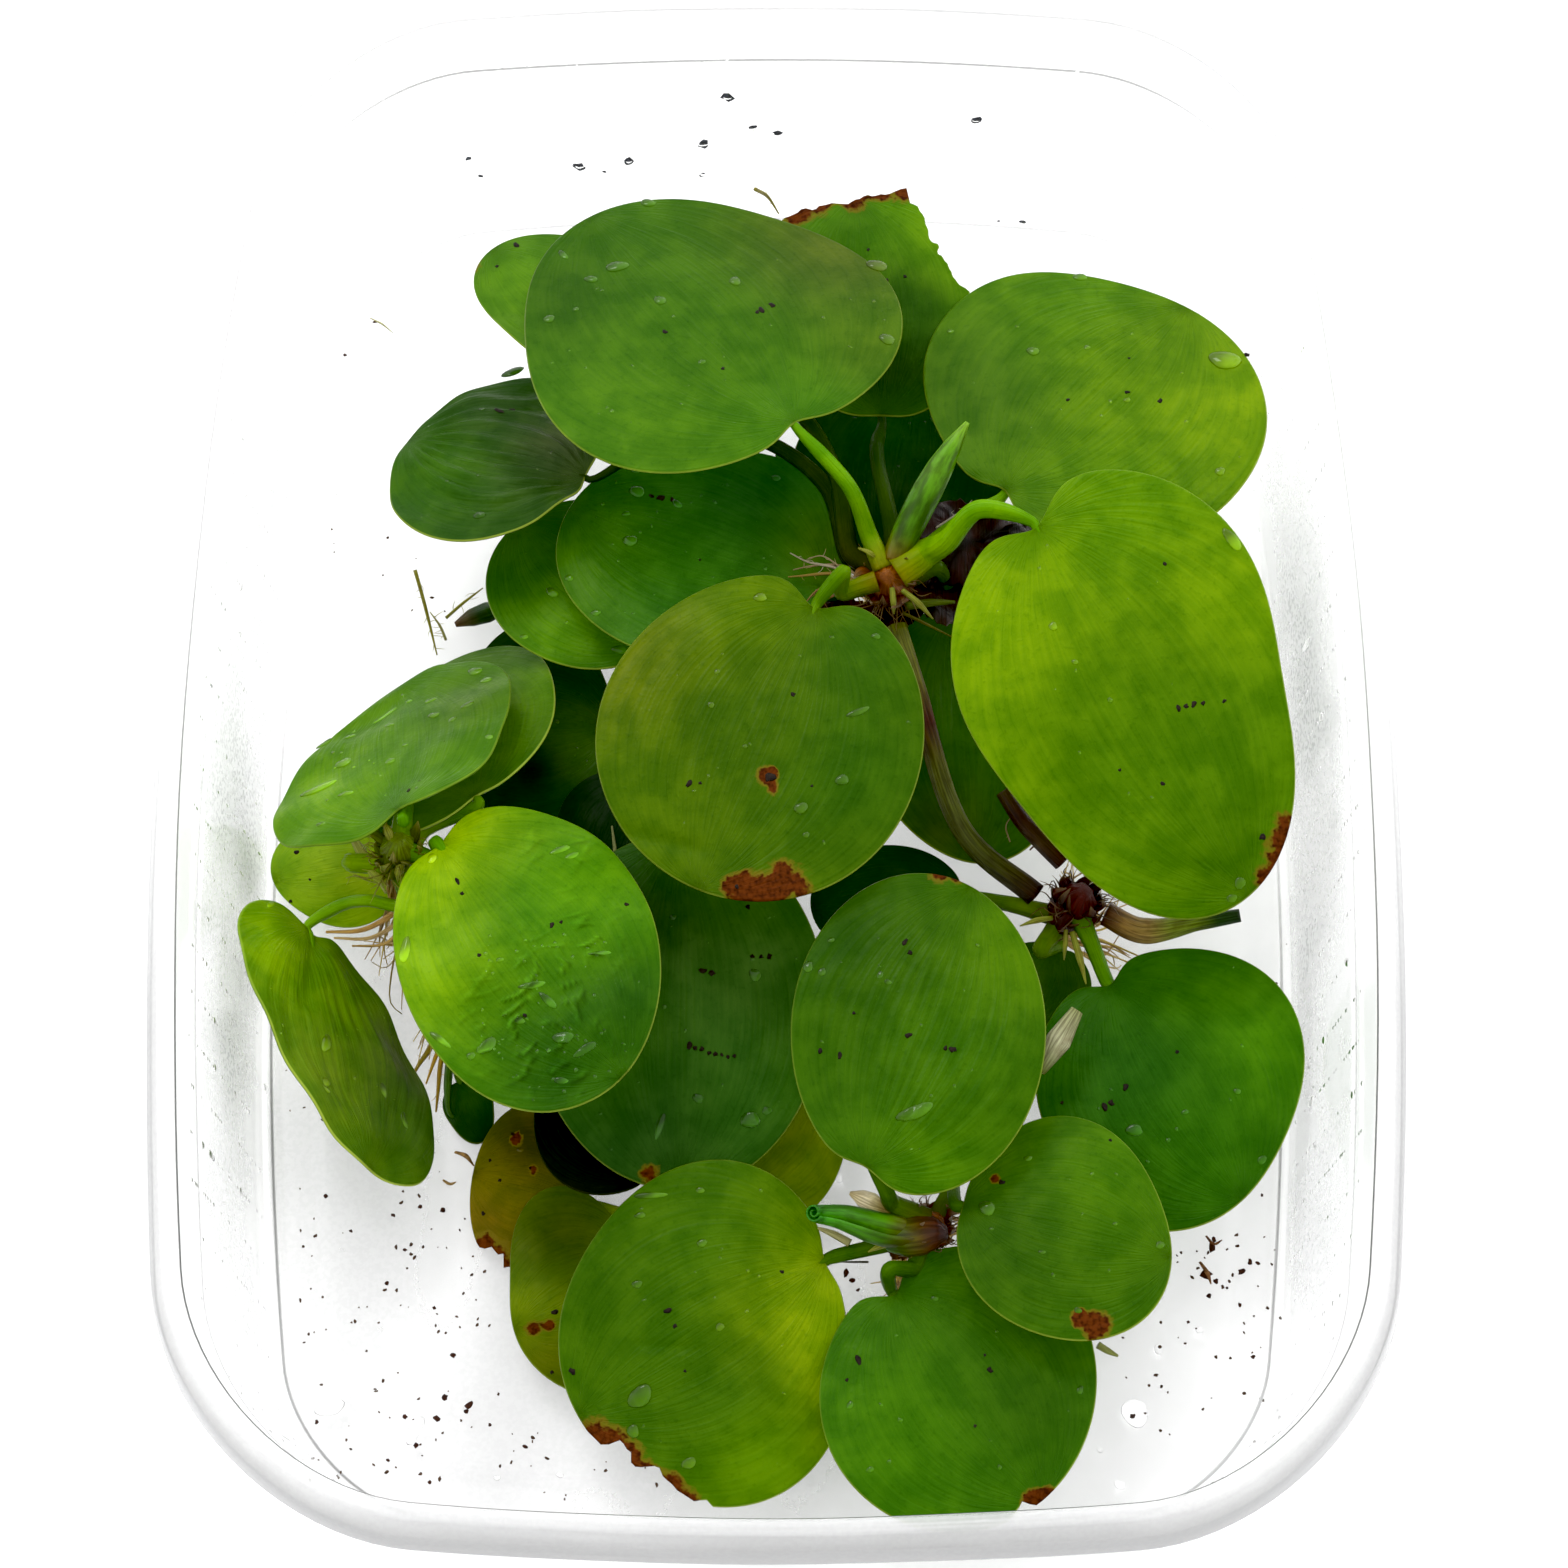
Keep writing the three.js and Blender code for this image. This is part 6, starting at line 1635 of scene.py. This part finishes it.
def make_roots(name, material):
    """A rosette's roots: many fine threads that follow the bundle's strands down to the tub's floor."""
    bundle = ROOT_BUNDLES[name]
    crown = CROWNS[bundle["crown"]]
    tilt = leaning(crown["lean"])
    drop = CROWN_HALF_HEIGHT * crown["size"] + GAP
    start = tilt @ np.array([0, 0, 1 - drop]) + crown["at"]
    below = tilt @ np.array([0, 0, -drop - 1.5]) + crown["at"]
    clay = Clay()
    rng = np.random.default_rng(len(name) + 7)
    for tip in bundle["tips"]:
        end = np.array(tip)
        elbow = np.array([(start[0] + 2 * end[0]) / 3, (start[1] + 2 * end[1]) / 3, end[2] + 1.5])
        for _ in range(ROOTS_PER_STRAND):
            apart = rng.normal(0, 0.5, (4, 3)) * ROOT_SPREAD
            line = np.array([start, below, elbow, end]) + apart
            line[:, 2] = np.maximum(line[:, 2], FLOOR_TOP + 0.25)
            line[0, 2] = min(line[0, 2], start[2])
            shade = rng.uniform(0, 1)
            tint = rgb(ROOT_YELLOW) * shade + rgb(ROOT_TAN) * (1 - shade)
            strand(clay, line, ROOT_RADII, 5, 24, [rgb(ROOT_BROWN), tint, tint], shade * 9)
    return clay.piece(name + "_threads", material, [name])


def make_old_tissue_and_shade(material):
    """Limp dark sheets of decayed sheath that hang from the crowns; their near-black colour also stands in
    for the shade in the gaps under the crowns.
    """
    clay = Clay()
    turn = circle(90)
    over = [(share, 0) for share in (0.2, 0.4, 0.6, 0.75, 0.88, 0.96, 1)]
    under = [(share, -0.22) for share in (0.96, 0.7, 0.3)]
    for number, (at, half, slope, code, lighter) in enumerate(OLD_TISSUE_AND_SHADE):
        ragged = 1 + 0.16 * hills(number, turn * 3, turn * 0, 1.7)
        ragged = ragged + 0.07 * hills(number + 9, turn * 14, turn * 0, 1)
        rings, tints = [], []
        for share, lift in over + under:
            x, y = half[0] * share * ragged * np.cos(turn), half[1] * share * ragged * np.sin(turn)
            z = 0.7 * hills(number + 3, x, y, 4) + 0.25 * hills(number + 5, x, y, 1.2)
            z = z - 0.05 * (x ** 2 + y ** 2) / half[1]
            rings.append(np.stack([x, y, z + lift], 1))
            light = np.clip(0.5 + 0.9 * hills(number + 7, x, y, 2.2), 0, 1)[:, None]
            tints.append(rgb(code) * (1 - light) + rgb(lighter) * light)
        points = closed(rings)
        shades = np.vstack(tints + [rgb(code), rgb(code)])
        veins = np.stack([points[:, 0] * 0.3, points[:, 1] * 0.1, np.full(len(points), number)], 1)
        clay.add(points @ leaning(slope).T + at, ring_faces(len(rings), len(turn)), shades, veins)
    return clay.piece("old_tissue_and_shade", material)


def make_loose_roots(material):
    """Single roots and root ends that lie apart from the bundles, with fine side hairs on some."""
    clay = Clay()
    rng = np.random.default_rng(77)
    for stops, radius, code, hairs in LOOSE_ROOTS:
        line = [at_level((x, y), z) for x, y, z in stops]
        tint = rgb(code)
        strand(clay, line, [radius, radius * 0.9, radius * 0.35], 6, 22, [tint * 0.8, tint], radius * 40)
        path = smooth_line(line, hairs + 2)[1:-1]
        for point in path:
            aim = rng.normal(0, 1, 3) * [1, 1, 0.25]
            far = point + aim / np.linalg.norm(aim) * rng.uniform(0.5, 1.3)
            far[2] = max(far[2], FLOOR_TOP + 0.1)
            bend = (point + far) / 2 + rng.normal(0, 0.12, 3) * [1, 1, 0]
            strand(clay, [point, bend, far], HAIR_RADII, 4, 6, [tint, tint * 1.2], 1)
    return clay.piece("loose_roots", material)


# Water drops and specks

def drop(place, height, wide, tall, turn, seed, spokes=16):
    """A domed drop whose foot follows the surface height(x, y). place is in the surface's own frame."""
    steps = 6 if spokes > 12 else 4
    angle = circle(spokes)
    rng = np.random.default_rng(seed)
    outline = 1 + 0.1 * np.cos(2 * (angle - rng.uniform(0, 3)))
    outline = outline + 0.06 * np.cos(3 * (angle - rng.uniform(0, 3)))
    rings = []
    for share, sunk in [(0.9, True)] + [(k, False) for k in np.cos(np.linspace(0, 1.45, steps))]:
        x = wide * outline * share * np.cos(angle)
        y = tall * outline * share * np.sin(angle)
        c, s = math.cos(turn), math.sin(turn)
        x, y = place[0] + c * x - s * y, place[1] + s * x + c * y
        dome = DROP_HEIGHT * min(wide, tall) * math.sqrt(max(0.0, 1 - share ** 2))
        lift = -0.05 if sunk else dome - 0.01
        rings.append(np.stack([x, y, height(x, y) + lift], 1))
    points = closed(rings)
    points[-1, 2] += 0.004
    return points, ring_faces(len(rings), spokes)


def make_drops(material):
    """Water drops that lie on the leaves, coloured like the leaf with painted light and shade across each
    drop.
    """
    clay = Clay()
    rng = np.random.default_rng(41)
    for leaf in LEAVES:
        look = look_of(leaf)
        rotation = blade_frame(leaf)
        beads = list(DROPS.get(leaf["name"], []))
        (low, high), count = BEAD_FIELDS.get(leaf["name"], [((0, 0), (1, 1)), 0])
        for _ in range(count):
            px = [rng.uniform(a, b) for a, b in zip(low, high)]
            size = rng.uniform(*BEAD_SIZES)
            x, y = leaf_place(leaf, px)[:2]
            if math.hypot(x, y) < 0.93 * float(bitten(leaf, look, np.array(math.atan2(y, x)))):
                beads.append((px, size, size * rng.uniform(0.4, 1), rng.uniform(0, 180)))
        for number, (px, wide, tall, turn) in enumerate(beads):
            local = leaf_place(leaf, px)
            spokes = 16 if wide > 0.3 else 10
            points, faces = drop(local, lambda x, y: top_height(leaf, look, x, y), wide, tall,
                                 math.radians(turn - leaf["turn"]), number + len(leaf["name"]), spokes)
            offset = (points - local) @ rotation.T / min(wide, tall)
            # painted light and shade: a bead is lighter on its side away from the light and darker on the
            # side towards it
            painted_glow = 1.05 + 0.6 * np.clip(offset[:, :2] @ AWAY_FROM_LIGHT, -0.8, 1.1)
            tint = leaf_tint(leaf, look, points)[0] * painted_glow[:, None]
            clay.add(points @ rotation.T + leaf["at"], faces, tint)
    return clay.piece("leaf_drops", material)


def flat_at(z):
    """The height of a level surface, as a function of the place on it."""
    return lambda x, y: np.full(np.shape(x), float(z))


def make_tub_drops(material):
    """Drops and fine condensation on the tub's floor and inner wall."""
    clay = Clay()
    for number, (px, wide, tall, turn) in enumerate(FLOOR_DROPS):
        place = at_level(px, FLOOR_TOP)
        points, faces = drop(place, flat_at(FLOOR_TOP), wide, tall, math.radians(turn), number)
        clay.add(points, faces)
    rng = np.random.default_rng(11)
    spots = [(on_wall(px), wide, tall) for px, wide, tall in WALL_DROPS]
    for around, spread, count in FOGGED_WALLS:
        for _ in range(count):
            z = rng.uniform(*FOGGED_HEIGHTS)
            turn = math.radians(around + rng.normal(0, spread))
            aim = heading(turn) * [MOUTH_HALF_WIDTH + 2, MOUTH_HALF_LENGTH + 2.2, 0] + UP * z
            size = rng.uniform(*FOG_SIZES) * (GROWN if rng.uniform() < GROWN_SHARE else 1)
            spots.append((wall_frame(aim), size, size * rng.uniform(0.9, 1.6)))
    for number, ((place, along, up, inward), wide, tall) in enumerate(spots):
        points, faces = drop(np.zeros(3), flat_at(0), wide, tall, 0, number, 10 if tall < 0.6 else 16)
        clay.add(points @ np.array([along, up, inward]) + place, faces)
    return clay.piece("tub_drops", material)


def make_dirt(material):
    """Crumbs of soil, brown flakes and short plant shreds on the tub's floor, wall and rim."""
    clay = Clay()
    axes = np.eye(3)
    rng = np.random.default_rng(5)
    for px, size, long in FLOOR_CRUMBS:
        crumb(clay, at_level(px, FLOOR_TOP), axes, size, long, px[0], rgb(CRUMB_BROWN))
    for (low, high), count in CRUMB_FIELDS:
        for _ in range(count):
            px = [rng.uniform(a, b) for a, b in zip(low, high)]
            size, long = rng.uniform(*FINE_SIZES), rng.uniform(1, 1.8)
            crumb(clay, at_level(px, FLOOR_TOP), axes, size, long, int(px[0]), rgb(FINE_BROWN))
    for px, size in WALL_CRUMBS:
        place, along, up, inward = on_wall(px)
        crumb(clay, place, np.array([along, up, inward]), size, 1.3, px[0], rgb(FLECK_GREY))
    for stops, radius, code in SHREDS:
        line = [at_level((x, y), z) for x, y, z in stops]
        strand(clay, line, [radius * 0.6, radius, radius * 0.3], 6, 14, rgb(code), 2, squash=[0.5])
    return clay.piece("dirt_crumbs", material)


def crumb(clay, centre, axes, size, long, seed, tint):
    """A small flat irregular crumb. axes are its two directions in the surface and the surface's normal."""
    rng = np.random.default_rng(seed)
    angle = circle(9)
    outline = size * rng.uniform(0.6, 1.15, len(angle))
    turn = rng.uniform(0, math.pi)
    rings = []
    for share, lift in [(0.8, -0.04), (1, 0.0), (0.75, 0.06), (0.3, 0.09)]:
        x = outline * share * np.cos(angle) * long
        y = outline * share * np.sin(angle)
        x, y = x * math.cos(turn) - y * math.sin(turn), x * math.sin(turn) + y * math.cos(turn)
        lift = lift * min(1, size * 3)
        rings.append(centre + x[:, None] * axes[0] + y[:, None] * axes[1] + lift * axes[2])
    clay.add(closed(rings), ring_faces(len(rings), len(angle)), tint)


def make_specks(material):
    """Dark bruises and insect marks on the leaves."""
    clay = Clay()
    for leaf in LEAVES:
        look = look_of(leaf)
        rotation = blade_frame(leaf)
        for number, (px, size, long) in enumerate(SPECKS.get(leaf["name"], [])):
            local = leaf_place(leaf, px)
            local[2] = float(top_height(leaf, look, local[0], local[1]))
            crumb(clay, rotation @ local + leaf["at"], rotation.T, size, long, number, rgb(SPECK_BROWN))
    return clay.piece("leaf_specks", material)


# Scene

def placed(name, data):
    """A new object in the scene."""
    made = bpy.data.objects.new(name, data)
    bpy.context.collection.objects.link(made)
    return made


def make_camera():
    data = bpy.data.cameras.new("camera")
    data.lens = LENS
    data.sensor_width = SENSOR
    data.shift_y = (SHARP_CENTRE_PX[1] - PHOTO / 2) / PHOTO
    data.clip_start = CLIP_START
    camera = placed("camera", data)
    camera.location = CAMERA_AT * MM
    camera.rotation_euler = (CAMERA_TILT, 0, 0)
    bpy.context.scene.camera = camera


def make_stage(material):
    mesh = bpy.data.meshes.new("table")
    corners = [(-1, -1), (1, -1), (1, 1), (-1, 1)]
    mesh.from_pydata([(x * TABLE_HALF, y * TABLE_HALF, TABLE_TOP) for x, y in corners], [], [(0, 1, 2, 3)])
    mesh.materials.append(material)
    table = placed("table", mesh)


def make_lights():
    """Soft even light from the sides, dimmer overhead, and one large soft lamp at the back left."""
    world = bpy.data.worlds.new("soft_light")
    bpy.context.scene.world = world
    world.use_nodes = True
    nodes = Nodes(world.node_tree)
    _, away, up = nodes.split(nodes.node("ShaderNodeTexCoord").outputs["Generated"])
    overhead = nodes.smooth(up, 0.62, 0.92, 1.6, 0.88)
    front = nodes.smooth(away, -0.8, 0.2, 0.3, 1.1)
    background = nodes.tree.nodes["Background"]
    nodes.feed(background.inputs["Strength"], nodes.product(overhead, front))
    nodes.feed(background.inputs["Color"], (1, 1, 1))
    lamp = bpy.data.lights.new("window", "AREA")
    lamp.shape = "RECTANGLE"
    lamp.size, lamp.size_y = WINDOW_SIZE
    lamp.energy = WINDOW_POWER
    window = placed("window", lamp)
    window.location = WINDOW_AT
    window.rotation_euler = np.radians(WINDOW_TURN)
    fill_lamp = bpy.data.lights.new("fill", "SUN")
    fill_lamp.energy = FILL_STRENGTH
    fill_lamp.use_shadow = False
    placed("fill", fill_lamp).visible_glossy = False


def set_rays_and_tone():
    """Few light bounces, and a plain tone curve with a slightly raised black."""
    scene = bpy.context.scene
    scene.cycles.max_bounces = 5
    scene.cycles.diffuse_bounces = 2
    scene.cycles.glossy_bounces = 2
    scene.cycles.transparent_max_bounces = 12
    scene.view_settings.view_transform = "Standard"
    scene.view_settings.look = "None"
    scene.view_settings.use_curve_mapping = True
    scene.view_settings.curve_mapping.black_level = (BLACK_LEVEL,) * 3
    scene.view_settings.curve_mapping.update()


LEAF = leaf_skin()
STEM = stem_skin()

make_camera()
make_stage(table_top())
make_lights()
set_rays_and_tone()
make_tub(clear_plastic())
for one in LEAVES:
    make_leaf(one, LEAF)
for one in CROWNS:
    make_crown(one, STEM)
for one in SHOOTS:
    make_shoot(one, STEM)
for one in ROOT_BUNDLES:
    make_roots(one, STEM)
make_old_tissue_and_shade(STEM)
make_loose_roots(STEM)
make_drops(bead_skin())
DIRT = dirt_skin()
make_specks(DIRT)
make_tub_drops(water())
make_dirt(DIRT)
